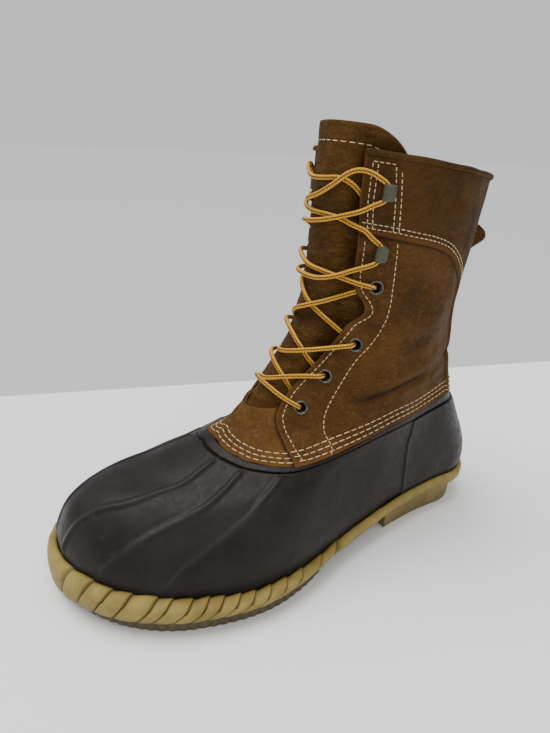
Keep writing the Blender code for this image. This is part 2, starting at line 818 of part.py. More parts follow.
def backstay():
    """The narrow strap on the back seam, its top end curled outwards."""
    v = np.array([0.43, 0.50, 0.58, 0.66, 0.74, 0.81, 0.84, 0.862])
    curl = np.array([0.10, 0.0, 0.0, 0.0, 0.0, 0.0, 0.35, 1.0]) * BACKSTAY_CURL
    girth = 2 * (SHAFT_WIDTH + 0.06)
    half = BACKSTAY_WIDTH / girth / 2
    across = np.linspace(-half, half, 5)
    base = PANEL_STEP + GAP + 0.0003
    outer = []
    inner = []
    for level, lift in zip(v, curl):
        inner.append(offset(across, level, base + lift))
        outer.append(offset(across, level, base + lift + BACKSTAY_WALL))
    keep = np.ones((len(v), len(across)), bool)
    return thick_grid("backstay", np.array(outer), np.array(inner), keep, False, "leather_edge")


def bridged(name, loops, look):
    """A closed plate: edge loops from top to bottom, with level strips across.

    Each loop has its points in order of u, alike on both sides. The strips across
    the top and the bottom are split once, on the middle line.
    """
    count = len(loops[0])
    points = [p for loop in loops for p in loop]
    faces = []
    for r in range(len(loops) - 1):
        for c in range(count):
            d = (c + 1) % count
            faces.append([r * count + c, r * count + d, (r + 1) * count + d, (r + 1) * count + c])
    start = (len(loops) - 1) * count
    for base in (0, start):
        ring = [base + c for c in range(count)]
        middle = {}
        for c in range(1, (count + 1) // 2):
            a = points[ring[c]]
            b = points[ring[count - c]]
            middle[c] = len(points)
            points.append((np.asarray(a) + np.asarray(b)) / 2)
        last_c = (count + 1) // 2 - 1
        faces.append([ring[0], ring[1], middle[1]])
        faces.append([ring[0], middle[1], ring[count - 1]])
        for c in range(1, last_c):
            faces.append([ring[c], ring[c + 1], middle[c + 1], middle[c]])
            faces.append([ring[count - c], middle[c], middle[c + 1], ring[count - c - 1]])
        end = ring[last_c + 1:count - last_c]
        for a, b in zip([ring[last_c]] + end, end + [ring[count - last_c]]):
            faces.append([a, b, middle[last_c]])
    return add_object(name, points, faces, look)


def outsole():
    """The gum outsole: tread plate, arch, heel seat and the rand with rope lugs."""
    return bridged("outsole", outsole_rows(ORIGIN), "gum")


def heel_block():
    """The heel under the outsole, inset from its edge, cut straight at the breast."""
    probe = np.linspace(0.0, 0.25, 400)
    ys = last(probe, 0.0)[:, 1]
    breast = probe[np.argmin(np.abs(ys - HEEL_BREAST))]
    half = np.linspace(0.0, breast, 13)
    u = np.concatenate([half, 1.0 - half[:0:-1]])
    share, under, tread, cover, stand = columns(RAND)
    way = along(last(u, 0.0)[:, 1])
    out = smooth(way, share, stand) * BALL_WIDTH - HEEL_INSET

    def loop(inset, z):
        base = last(u, 0.0)
        ring = base + outward(u) * (out - inset)[:, None]
        ring[:, 1] = np.maximum(ring[:, 1], HEEL_BREAST + inset)
        ring[:, 2] = z
        return ring - ORIGIN

    loops = [loop(0.0, HEEL_HEIGHT - GAP), loop(0.0006, HEEL_CHAMFER * 2),
             loop(HEEL_CHAMFER, 0.0)]
    return bridged("heel_block", loops, "gum")


def insole():
    """The removable insole on the outsole's plate, inside the rubber shell."""
    half = np.linspace(0.0, 0.5, 25)
    u = np.concatenate([half, 1.0 - half[-2:0:-1]])
    foot = last(u, 0.0)

    def loop(rise):
        inset = RUBBER + INSOLE_GAP
        base = last(u, 0.02) - outward(u) * inset
        base[:, 2] = foot[:, 2] + rise
        return base - ORIGIN

    return bridged("insole", [loop(INSOLE_WALL), loop(0.0)], "felt")


def cord(name, points, look):
    """A round cord along the given points."""
    curve = bpy.data.curves.new(name, "CURVE")
    curve.dimensions = "3D"
    line = curve.splines.new("POLY")
    line.points.add(len(points) - 1)
    for node, point in zip(line.points, points):
        node.co = (*point, 1.0)
    curve.bevel_depth = LACE_RADIUS
    curve.bevel_resolution = 1
    curve.use_fill_caps = True
    curve.materials.append(material(look))
    made = bpy.data.objects.new(name, curve)
    collection("duck_boot").objects.link(made)
    return made


def as_mesh(thing):
    """Turn a curve object into a mesh object of the same name."""
    graph = bpy.context.evaluated_depsgraph_get()
    mesh = bpy.data.meshes.new_from_object(thing.evaluated_get(graph))
    name = thing.name
    made = bpy.data.objects.new(name + "_mesh", mesh)
    collection("duck_boot").objects.link(made)
    bpy.data.objects.remove(thing, do_unlink=True)
    made.name = name
    return made


def lace_points(start, end, over_start, over_end, ground):
    """A strand from start to end on ground, lifted where it lies over a flap."""
    steps = 8
    points = []
    low = ground + GAP + LACE_RADIUS + 0.0005
    high = PANEL_STEP + GAP + LACE_RADIUS + 0.0009
    for i in range(steps + 1):
        t = i / steps
        u = start[0] + (end[0] - start[0]) * t
        v = start[1] + (end[1] - start[1]) * t
        margin = 0.012
        edge = flap_edge(v)
        ramp = margin + 0.010
        near_outer = np.clip((edge + ramp - u) / margin, 0, 1)
        near_inner = np.clip((u - (1.0 - edge - ramp)) / margin, 0, 1)
        lift = max(near_outer * over_start, near_inner * over_end)
        points.append(offset(np.array([u]), v, low + (high - low) * lift)[0] - ORIGIN)
    return points


def lace():
    """The lace over the tongue: a bar at the bottom, then joined crossings."""
    stops = list(EYELETS) + list(HOOKS)
    clear = 0.012
    ground = -LEATHER - 0.0002
    u0, v0 = stops[0]
    start = (u0 + 0.022, v0 + 0.002)
    end = (1.0 - start[0], start[1])
    bar = cord("lace_bar", lace_points(start, end, 1, 1, -FLAP_STEP), "lace")
    for i in range(len(stops) - 1):
        u_low, v_low = stops[i]
        u_high, v_high = stops[i + 1]
        v_low += 0.014
        v_high -= 0.004
        from_low = flap_edge(v_low) + clear + 0.004 if i < len(EYELETS) else u_low + 0.02
        to_high = u_high + 0.022
        over = 0.0 if i < len(EYELETS) else 1.0
        strands = []
        for side in (0, 1):
            start = (from_low, v_low)
            end = (1.0 - to_high, v_high)
            over_start, over_end = over, 1.0
            if side:
                start = (1.0 - from_low, v_low)
                end = (to_high, v_high)
                over_start, over_end = 1.0, over
            level = ground + side * STRAND_LIFT
            points = lace_points(start, end, over_start, over_end, level)
            strands.append(as_mesh(cord(f"lace_crossing_{i + 1}" + "_b" * side, points, "lace")))
        join(strands[0], strands[1])
    return bar


def join(keep, other):
    """Join two crossing solids into one."""
    merge = keep.modifiers.new("join", "BOOLEAN")
    merge.operation = "UNION"
    merge.solver = "EXACT"
    merge.object = other
    for home in list(other.users_collection):
        home.objects.unlink(other)
    collection("cutters").objects.link(other)
    other.hide_render = True
    other.display_type = "WIRE"


def main():
    clear_scene()
    outsole()
    heel_block()
    rubber_shell()
    upper()
    tongue()
    insole()
    collar_binding()
    backstay()
    eyelets()
    hooks()
    lace()


main()
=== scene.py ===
"""Visual model of the duck boot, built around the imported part.

Every curved piece is an offset from the same last surface as in the part:
u runs once around, 0 at the heel, 0.25 outer side, 0.5 at the toe and shin;
v climbs from the feather edge (0) to the collar (1). Metres throughout.
"""
import math

import bpy
import numpy as np
from mathutils import Matrix, Vector
from mathutils.kdtree import KDTree


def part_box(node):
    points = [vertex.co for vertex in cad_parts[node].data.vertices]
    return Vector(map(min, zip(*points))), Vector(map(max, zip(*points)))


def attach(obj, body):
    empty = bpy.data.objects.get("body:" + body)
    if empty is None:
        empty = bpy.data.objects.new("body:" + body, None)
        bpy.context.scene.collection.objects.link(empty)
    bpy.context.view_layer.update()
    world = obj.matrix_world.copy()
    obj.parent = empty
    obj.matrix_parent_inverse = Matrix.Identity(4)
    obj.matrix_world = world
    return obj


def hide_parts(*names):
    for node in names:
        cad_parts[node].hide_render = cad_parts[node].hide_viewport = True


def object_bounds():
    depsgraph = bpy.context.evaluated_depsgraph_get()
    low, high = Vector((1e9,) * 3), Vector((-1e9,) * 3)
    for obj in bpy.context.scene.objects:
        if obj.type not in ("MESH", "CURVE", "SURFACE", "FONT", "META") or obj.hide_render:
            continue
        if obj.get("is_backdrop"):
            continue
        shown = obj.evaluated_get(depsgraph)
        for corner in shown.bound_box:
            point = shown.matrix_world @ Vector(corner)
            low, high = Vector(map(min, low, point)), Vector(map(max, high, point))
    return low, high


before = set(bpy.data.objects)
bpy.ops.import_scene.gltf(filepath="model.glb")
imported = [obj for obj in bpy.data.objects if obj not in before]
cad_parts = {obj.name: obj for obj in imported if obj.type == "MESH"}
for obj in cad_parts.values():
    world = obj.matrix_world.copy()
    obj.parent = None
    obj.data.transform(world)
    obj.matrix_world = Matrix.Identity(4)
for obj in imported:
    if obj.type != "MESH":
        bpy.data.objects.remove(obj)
cad_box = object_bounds()
MM = 0.001

# Sizes and tables of the last, as in the part
FOOT_LENGTH = 0.297
BALL_WIDTH = 0.114
INSTEP_HEIGHT = 0.081
COLLAR_HEIGHT = 0.251
SHAFT_WIDTH = 0.086
RUBBER = 0.0030
INSOLE_GAP = 0.0024
LEATHER = 0.0022
FLAP_STEP = 0.0014
PANEL_STEP = 0.0013
COUNTER_STEP = 0.0007
BAND_HEIGHT = 0.0065
HEEL_HEIGHT = 0.0185
HEEL_INSET = 0.0035
HEEL_BREAST = 0.062
TREAD_INSET = 0.0050
SEAT_GAP = 0.0007
FOOT_RINGS = (
    # v, front_y, back_y, front_z, back_z, rear, middle, fore, tip, heel_end, toe_end, follow, swing
    (0.00, -0.481, 0.507, 0.210, 0.270, 0.302, 0.338, 0.474, 0.421, 0.11, 0.20, 1.00, 1.00),
    (0.06, -0.492, 0.519, 0.333, 0.383, 0.322, 0.355, 0.500, 0.447, 0.11, 0.20, 0.85, 1.00),
    (0.13, -0.485, 0.518, 0.494, 0.543, 0.324, 0.360, 0.496, 0.430, 0.11, 0.20, 0.65, 0.95),
    (0.19, -0.461, 0.506, 0.654, 0.691, 0.316, 0.355, 0.465, 0.386, 0.12, 0.22, 0.45, 0.85),
    (0.25, -0.411, 0.487, 0.778, 0.840, 0.306, 0.351, 0.425, 0.325, 0.14, 0.26, 0.25, 0.70),
    (0.32, -0.313, 0.467, 0.858, 0.975, 0.295, 0.346, 0.386, 0.289, 0.16, 0.32, 0.10, 0.55),
    (0.40, -0.178, 0.441, 1.000, 1.123, 0.285, 0.342, 0.351, 0.263, 0.20, 0.36, 0.00, 0.40),
)
SHAFT_RINGS = (
    # v, front_y, back_y, front_z, back_z, rear, middle, fore, tip, heel_end, toe_end, follow, swing
    (0.50, -0.098, 0.424, 0.124, 0.159, 0.372, 0.448, 0.442, 0.343, 0.25, 0.40, 0.00, 0.25),
    (0.60, -0.030, 0.411, 0.276, 0.288, 0.372, 0.448, 0.442, 0.360, 0.32, 0.43, 0.00, 0.15),
    (0.72, 0.013, 0.406, 0.465, 0.447, 0.395, 0.459, 0.453, 0.384, 0.38, 0.46, 0.00, 0.05),
    (0.85, 0.030, 0.423, 0.724, 0.676, 0.442, 0.483, 0.477, 0.430, 0.44, 0.48, 0.00, 0.00),
    (1.00, 0.037, 0.444, 1.000, 0.912, 0.477, 0.500, 0.500, 0.465, 0.48, 0.50, 0.00, 0.00),
    (1.10, 0.040, 0.458, 1.147, 1.040, 0.500, 0.512, 0.512, 0.488, 0.49, 0.50, 0.00, 0.00),
)
STATIONS = (0.0, 0.15, 0.40, 0.68, 0.90, 1.0)
SWING = (-0.070, -0.061, 0.018, 0.048, -0.018, -0.070)
SHAFT_SWING = -0.026
FEATHER = (
    # along, share of the instep's height
    (0.00, 0.272), (0.15, 0.272), (0.30, 0.253), (0.42, 0.185),
    (0.55, 0.130), (0.70, 0.111), (0.85, 0.136), (1.00, 0.210),
)
RAND = (
    # along, underside, tread, cover, stand_out
    (0.00, 1.08, 1.0, 0.055, 0.026),
    (0.15, 1.06, 1.0, 0.052, 0.024),
    (0.27, 1.02, 1.0, 0.034, 0.024),
    (0.32, 1.00, 1.0, 0.028, 0.027),
    (0.35, 0.86, 0.82, 0.028, 0.029),
    (0.40, 0.76, 0.70, 0.030, 0.033),
    (0.48, 0.66, 0.40, 0.034, 0.040),
    (0.56, 0.56, 0.04, 0.038, 0.050),
    (0.64, 0.50, 0.00, 0.043, 0.064),
    (0.75, 0.50, 0.00, 0.050, 0.074),
    (0.88, 0.52, 0.02, 0.056, 0.076),
    (0.96, 0.48, 0.12, 0.058, 0.066),
    (1.00, 0.36, 0.18, 0.060, 0.056),
)
RAND_PROFILE = (
    # slant, out share, drop share, groove bite, pillow in mm
    (0.00, 0.00, 0.10, 0.3, 0.0),
    (0.00, 0.00, -0.02, 0.8, 0.3),
    (0.06, 0.22, -0.05, 1.0, 0.6),
    (0.14, 0.48, -0.03, 1.0, 0.8),
    (0.22, 0.72, 0.04, 1.0, 0.9),
    (0.30, 0.89, 0.13, 1.0, 1.0),
    (0.38, 0.98, 0.24, 1.0, 1.0),
    (0.47, 1.02, 0.36, 1.0, 1.0),
    (0.57, 1.02, 0.48, 1.0, 1.0),
    (0.67, 1.00, 0.60, 1.0, 1.0),
    (0.77, 0.97, 0.72, 1.0, 0.9),
    (0.86, 0.93, 0.83, 1.0, 0.8),
    (0.93, 0.86, 0.92, 1.0, 0.6),
    (0.98, 0.76, 0.98, 0.9, 0.4),
    (1.00, 0.62, 1.00, 0.6, 0.1),
    (0.80, 0.35, 1.00, 0.2, 0.0),
)
LUG_EDGES = (0.459, 0.433, 0.415, 0.398, 0.379, 0.369, 0.355, 0.344,
             0.334, 0.323, 0.313, 0.302, 0.290, 0.277, 0.259, 0.244)
LUG_SLANT = 0.016
# The chain tread: its wave across, its bars along and the teeth on its side, in metres
CHAIN_WAVE = 0.016
CHAIN_PITCH = 0.0105
TEETH_PITCH = 0.0056
LEATHER_EDGE = (
    # u, v
    (0.00, 0.392), (0.07, 0.398), (0.12, 0.412), (0.18, 0.405), (0.22, 0.402), (0.27, 0.378),
    (0.32, 0.352), (0.36, 0.357), (0.41, 0.378), (0.45, 0.393), (0.50, 0.405),
)
FLAP_EDGE = (
    # v, u
    (0.34, 0.320), (0.362, 0.332), (0.400, 0.360), (0.438, 0.385), (0.470, 0.402),
    (0.503, 0.410), (0.532, 0.413), (0.560, 0.408), (0.588, 0.400), (0.618, 0.391),
    (0.655, 0.379), (0.695, 0.367), (0.710, 0.350), (0.722, 0.344), (0.740, 0.352),
    (0.758, 0.370), (0.778, 0.379), (0.828, 0.382), (0.860, 0.386), (0.910, 0.393),
    (1.000, 0.395),
)
PANEL_EDGE = (
    # u, v
    (0.100, 0.722), (0.112, 0.750), (0.126, 0.768), (0.150, 0.786), (0.169, 0.799),
    (0.196, 0.818), (0.221, 0.833), (0.242, 0.840), (0.265, 0.845), (0.300, 0.849),
    (0.330, 0.853), (0.400, 0.856),
)
STRAP_EDGE = 0.100
THROAT_V = 0.492
COLLAR_V = 0.9935
COUNTER_SEAM = 0.175
EYELETS = ((0.374, 0.498), (0.368, 0.572), (0.344, 0.648), (0.338, 0.768))
HOOKS = ((0.338, 0.825), (0.345, 0.928))
TONGUE_BOTTOM = 0.478
TONGUE_TOP = 1.045
# About the tongue's height in metres, for distances below its top
TONGUE_HEIGHT = 0.163
# The facing line behind the eyelets
FACING_LINE = (
    # v, u
    (0.345, 0.289), (0.392, 0.307), (0.435, 0.328), (0.468, 0.336), (0.512, 0.340),
    (0.555, 0.340), (0.608, 0.335), (0.650, 0.322), (0.690, 0.312), (0.730, 0.309),
    (0.768, 0.312), (0.800, 0.315), (0.835, 0.319), (0.866, 0.324),
)
# v of the stitches across the tongue and of the flaps' start, and how far in u
# the inner flap stands back from the outer one
TONGUE_ROW = 0.928
FLAP_START = 0.345
INNER_BACK = 0.007
# Half width of the back strap and its stitches' distance from the middle
BACK_STRAP_HALF = 0.0085
BACK_STRAP_ROW = 0.0063
# Radius of the lace, depth of the tread, half thickness of a hook's plate
LACE_RADIUS = 1.40 * MM
TREAD_DEPTH = 2.2 * MM
HOOK_HALF_THICK = 0.5 * MM
EYELET_SIDES = 32
# Faces nearer than this to the middle of an eyelet are left out of the leather and the lining
LEATHER_HOLE = 2.4 * MM
LINING_HOLE = 3.2 * MM
# The vamp's outer face over the last, under the flaps
VAMP_LEVEL = -FLAP_STEP + 0.0001
# How far stitches pull the leather in, how far a rim is rounded off, the bulge of a cut edge
STITCH_PULL = 0.25 * MM
RIM_DROP = 0.35 * MM
EDGE_BULGE = 0.25 * MM
# The photograph's camera: focal length and height in pixels, sensor width in mm
FOCAL_PIXELS = 565.7
PHOTO_HEIGHT = 733
SENSOR = 36.0
# Half the floor's side in metres
FLOOR_HALF = 12
# One unit of u and of v on the shaft, in metres, for distances on the leather
GIRTH = 0.290
CLIMB = 0.283
# One unit of u around the foot, and of u and v for the rubber's folds, in metres
FOOT_GIRTH = 0.58
FOLD_SCALE = (0.60, 0.24)


def smooth(x, knots, values):
    """Smooth curve or surface rows through values at rising knots."""
    knots = np.asarray(knots, float)
    values = np.asarray(values, float)
    x = np.clip(np.asarray(x, float), knots[0], knots[-1])
    i = np.clip(np.searchsorted(knots, x, side="right") - 1, 0, len(knots) - 2)
    slopes = np.gradient(values, knots, axis=0)
    step = knots[i + 1] - knots[i]
    s = (x - knots[i]) / step
    if values.ndim > 1:
        k = np.arange(values.shape[1])
        start, end = values[i, k], values[i + 1, k]
        rise, fall = slopes[i, k], slopes[i + 1, k]
        s = s[:, None]
        step = step[:, None]
    else:
        start, end, rise, fall = values[i], values[i + 1], slopes[i], slopes[i + 1]
    s2 = s * s
    s3 = s2 * s
    return ((2 * s3 - 3 * s2 + 1) * start + (s3 - 2 * s2 + s) * step * rise
            + (3 * s2 - 2 * s3) * end + (s3 - s2) * step * fall)


def columns(table):
    """The columns of a table, as arrays."""
    return [np.array(c, float) for c in zip(*table)]


def sized_rings():
    """Both ring tables in metres."""
    rows = []
    rise = COLLAR_HEIGHT - INSTEP_HEIGHT
    for table, base, height, width in ((FOOT_RINGS, 0.0, INSTEP_HEIGHT, BALL_WIDTH),
                                       (SHAFT_RINGS, INSTEP_HEIGHT, rise, SHAFT_WIDTH)):
        for v, fy, by, fz, bz, rear, middle, fore, tip, heel, toe, follow, swing in table:
            rows.append((v, fy * FOOT_LENGTH, by * FOOT_LENGTH, base + fz * height,
                         base + bz * height, rear * width, middle * width, fore * width,
                         tip * width, heel, toe, follow, swing))
    return rows


RINGS = sized_rings()
RING_V = [row[0] for row in RINGS]
HEEL_Y = FOOT_RINGS[0][2] * FOOT_LENGTH
TOE_Y = FOOT_RINGS[0][1] * FOOT_LENGTH


def along(y):
    """Share of the way from heel to toe at y."""
    return np.clip((HEEL_Y - y) / (HEEL_Y - TOE_Y), 0.0, 1.0)


def feather_rise(y):
    """How far the feather edge departs from the straight line of its ends."""
    share, height = columns(FEATHER)
    line = height[0] + (height[-1] - height[0]) * along(y)
    return (smooth(along(y), share, height) - line) * INSTEP_HEIGHT


def ring_points(row, u):
    """Points of one ring of the last."""
    fy, by, fz, bz, rear, middle, fore, tip, heel_end, toe_end, follow, swing = row[1:]
    angle = 2 * np.pi * u
    t = (1 - np.cos(angle)) / 2
    y = by + (fy - by) * t
    z = bz + (fz - bz) * t + follow * feather_rise(y)
    width = smooth(t, STATIONS, (rear, rear, middle, fore, tip, tip))
    heel_cap = np.sqrt(np.clip(1 - (1 - np.minimum(t / heel_end, 1)) ** 2, 0, 1))
    toe_cap = np.sqrt(np.clip(1 - (1 - np.minimum((1 - t) / toe_end, 1)) ** 2, 0, 1))
    centre = swing * smooth(t, STATIONS, SWING) + (1 - swing) * SHAFT_SWING
    side = np.where(np.sin(angle) >= 0, 1.0, -1.0)
    x = centre * BALL_WIDTH + side * width * heel_cap * toe_cap
    return np.stack([x, y, z], 1)


def paired(u, v):
    """u and v as flat arrays of one length."""
    u, v = np.broadcast_arrays(np.asarray(u, float), np.asarray(v, float))
    return u.ravel(), v.ravel()


def last(u, v):
    """Points of the last surface."""
    u, v = paired(u, v)
    u = np.mod(u, 1.0)
    rows = np.stack([ring_points(row, u) for row in RINGS])
    return smooth(v, RING_V, rows)


def unit(rows):
    """Each row at length 1."""
    return rows / np.linalg.norm(rows, axis=1)[:, None]


def normal(u, v):
    """Outward unit normals of the last surface."""
    u, v = paired(u, v)
    e = 0.001
    around = last(u + e, v) - last(u - e, v)
    up = last(u, np.minimum(v + e, RING_V[-1])) - last(u, np.maximum(v - e, 0))
    n = np.cross(up, around)
    return unit(n)


def outward(u):
    """Level outward directions of the feather edge."""
    e = 0.002
    around = last(u + e, 0.03) - last(u - e, 0.03)
    n = np.stack([-around[:, 1], around[:, 0], np.zeros(len(around))], 1)
    return unit(n)


def find_origin():
    """The place of the part's origin on the last, from the insole's box."""
    half = np.linspace(0.0, 0.5, 25)
    u = np.concatenate([half, 1.0 - half[-2:0:-1]])
    ring = last(u, 0.02) - outward(u) * (RUBBER + INSOLE_GAP)
    low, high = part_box("insole")
    middle = (ring.min(0) + ring.max(0)) / 2 - (np.array(low) + np.array(high)) / 2
    return np.array([middle[0], middle[1], 0.0])


ORIGIN = find_origin()


def at(u, v, d):
    """Points of the part at distance d outside the last, in the shape of u."""
    shape = np.broadcast(u, v, d).shape
    a, b = paired(np.broadcast_to(u, shape), np.broadcast_to(v, shape))
    lift = np.broadcast_to(d, shape).ravel()
    points = last(a, b) + normal(a, b) * lift[:, None] - ORIGIN
    return points.reshape(*shape, 3)


def mirrored(u):
    """Fold u onto the outer side."""
    u = np.mod(u, 1.0)
    return np.minimum(u, 1.0 - u)


def leather_edge(u):
    """v of the leather's lower edge."""
    share, v = columns(LEATHER_EDGE)
    return smooth(mirrored(u), share, v)


def flap_edge(v):
    """u of the outer lace flap's front edge, without its corners."""
    share, u = columns(FLAP_EDGE)
    wide = 0.006
    return sum(np.interp(v + wide * k, share, u) for k in (-1.0, -0.5, 0.0, 0.5, 1.0)) / 5


def panel_edge(u):
    """v of the collar panel's lower edge."""
    share, v = columns(PANEL_EDGE)
    wide = 0.006
    return sum(np.interp(mirrored(u) + wide * k, share, v) for k in (-1.0, 0.0, 1.0)) / 3


def rise_in_v(u, v, height):
    """The step in v that climbs the given height along the surface."""
    u, v = np.broadcast_arrays(np.asarray(u, float), np.asarray(v, float))
    e = 0.01
    climb = np.linalg.norm(last(u, v + e) - last(u, v), axis=1) / e
    return height / climb.reshape(u.shape)


def above_edge(w, level):
    """u, v of points at a height in metres above the leather's lower edge, square to it."""
    u = np.array(w, float)
    v = leather_edge(u)
    e = 0.002
    along_edge = last(u + e, leather_edge(u + e)) - last(u - e, leather_edge(u - e))
    for _ in range(4):
        up = np.cross(normal(u, v), along_edge)
        by_u = (last(u + e, v) - last(u - e, v)) / (2 * e)
        by_v = (last(u, v + e) - last(u, v - e)) / (2 * e)
        up = unit(up)
        up = up * np.sign(np.sum(up * by_v, 1))[:, None]
        uu = np.sum(by_u * by_u, 1)
        uv = np.sum(by_u * by_v, 1)
        vv = np.sum(by_v * by_v, 1)
        a = np.sum(up * by_u, 1)
        b = np.sum(up * by_v, 1)
        whole = uu * vv - uv * uv
        u = u + (a * vv - b * uv) / whole * level / 4
        v = v + (b * uu - a * uv) / whole * level / 4
    return u, v


def edge_gap(u, v):
    """Distance in metres above the leather's lower edge, below zero under it."""
    gap = (v - leather_edge(u)) * CLIMB
    w = np.linspace(0, 1, 1201)
    tree = KDTree(len(w))
    for i, point in enumerate(last(w, leather_edge(w))):
        tree.insert(point, i)
    tree.balance()
    near = gap < 0.035
    side = np.sign(gap[near])
    points = last(u[near], v[near])
    gap[near] = side * np.array([tree.find(point)[2] for point in points])
    return gap


def walked(line):
    """Distance along a line of points, at each of them."""
    return np.concatenate([[0], np.cumsum(np.linalg.norm(np.diff(line, axis=0), axis=1))])


def ease(x):
    """A smooth step from 0 to 1."""
    x = np.clip(x, 0.0, 1.0)
    return x * x * (3 - 2 * x)


def bell(x, wide):
    """A round bump: 1 where x is zero, fading over the width."""
    return np.exp(-(x / wide) ** 2)


def path_gap(u, v, path, across=GIRTH, upward=CLIMB):
    """Distance in metres from each point to a line of u, v stops, and its share."""
    u = np.asarray(u, float)
    px = u * across
    py = np.asarray(v, float) * upward
    best = np.full(px.shape, 1e9)
    share = np.zeros(px.shape)
    stops = np.array(path, float) * (across, upward)
    count = len(stops) - 1
    for i in range(count):
        a = stops[i]
        run = stops[i + 1] - a
        t = np.clip(((px - a[0]) * run[0] + (py - a[1]) * run[1]) / run.dot(run), 0, 1)
        gap = np.hypot(px - a[0] - run[0] * t, py - a[1] - run[1] * t)
        closer = gap < best
        best = np.where(closer, gap, best)
        share = np.where(closer, (i + t) / count, share)
    return best, share


def waves(x, y, seed, scale, count=9):
    """Soft irregular relief from -1 to 1, the same at each run."""
    rng = np.random.default_rng(seed)
    total = np.zeros(np.broadcast(x, y).shape)
    for _ in range(count):
        angle = rng.uniform(0, 2 * np.pi)
        length = scale * rng.uniform(0.6, 1.7)
        phase = rng.uniform(0, 2 * np.pi)
        way = x * math.cos(angle) + y * math.sin(angle)
        total = total + np.sin(2 * np.pi * way / length + phase)
    return total / math.sqrt(count)


# Creases of the leather: stops in u, v, half width in mm, depth in mm
OUTER_CREASES = (
    (((0.330, 0.515), (0.288, 0.516), (0.255, 0.522), (0.212, 0.537), (0.165, 0.545)), 4.2, -1.9),
    (((0.250, 0.500), (0.210, 0.512), (0.160, 0.524), (0.110, 0.530)), 3.5, 0.8),
    (((0.300, 0.545), (0.250, 0.552), (0.200, 0.568), (0.140, 0.575)), 6.0, 1.2),
    (((0.150, 0.560), (0.080, 0.572), (0.000, 0.575)), 4.0, -1.3),
    (((0.100, 0.520), (0.040, 0.510), (0.000, 0.512)), 4.0, -0.9),
    (((0.260, 0.610), (0.230, 0.640), (0.190, 0.650)), 7.0, -0.7),
    (((0.300, 0.700), (0.270, 0.760), (0.260, 0.820)), 9.0, -0.6),
    (((0.180, 0.700), (0.150, 0.770)), 9.0, 0.7),
    (((0.385, 0.470), (0.360, 0.450), (0.335, 0.440)), 3.5, -0.6),
    (((0.395, 0.600), (0.370, 0.590)), 3.0, -0.5),
    (((0.345, 0.705), (0.320, 0.690), (0.300, 0.700)), 3.5, -0.6),
    (((0.380, 0.830), (0.350, 0.800)), 3.0, -0.4),
)
INNER_CREASES = (
    (((0.320, 0.525), (0.270, 0.528), (0.215, 0.545), (0.160, 0.548)), 4.0, -1.6),
    (((0.290, 0.560), (0.230, 0.570), (0.170, 0.585)), 6.0, 1.0),
    (((0.250, 0.490), (0.190, 0.500), (0.130, 0.515)), 3.5, -0.9),
    (((0.150, 0.568), (0.080, 0.575), (0.000, 0.575)), 4.0, -1.3),
    (((0.100, 0.505), (0.040, 0.508), (0.000, 0.512)), 4.0, -0.9),
    (((0.300, 0.660), (0.250, 0.690), (0.230, 0.760)), 8.0, -0.8),
    (((0.170, 0.640), (0.140, 0.730)), 9.0, 0.7),
    (((0.380, 0.460), (0.350, 0.445), (0.320, 0.450)), 3.5, -0.6),
    (((0.345, 0.705), (0.325, 0.680)), 3.5, -0.6),
)


def creases(u, v):
    """Height of the creases in metres and the painted shade in their troughs."""
    u = np.mod(np.asarray(u, float), 1.0)
    height = np.zeros(u.shape)
    dark = np.zeros(u.shape)
    for outer, table in ((True, OUTER_CREASES), (False, INNER_CREASES)):
        side = np.where(u > 0.5, u - 1.0, u)
        folded = side if outer else -side
        for path, wide, deep in table:
            gap, share = path_gap(folded, v, path)
            fade = ease(share / 0.3)
            if path[-1][0] > 0.01:
                fade = fade * ease((1 - share) / 0.3)
            shape = bell(gap, wide * MM)
            height = height + shape * deep * MM * fade
            # the deeper troughs get painted shade
            if deep < -0.5:
                core = bell(gap, wide * 0.5 * MM)
                dark = np.maximum(dark, core * fade * min(1.0, -deep / 1.6))
    x = u * GIRTH
    y = np.asarray(v, float) * CLIMB
    height = height + waves(x, y, 3, 0.050) * 0.28 * MM + waves(x, y, 4, 0.021) * 0.10 * MM
    return height, dark


def skin(u, v):
    """Height of the quarters over the last."""
    height = creases(u, v)[0]
    hold = ease((np.asarray(v) - leather_edge(u)) * CLIMB / (14 * MM))
    top = ease((1.0 - np.asarray(v)) * CLIMB / (10 * MM))
    return height * hold * top


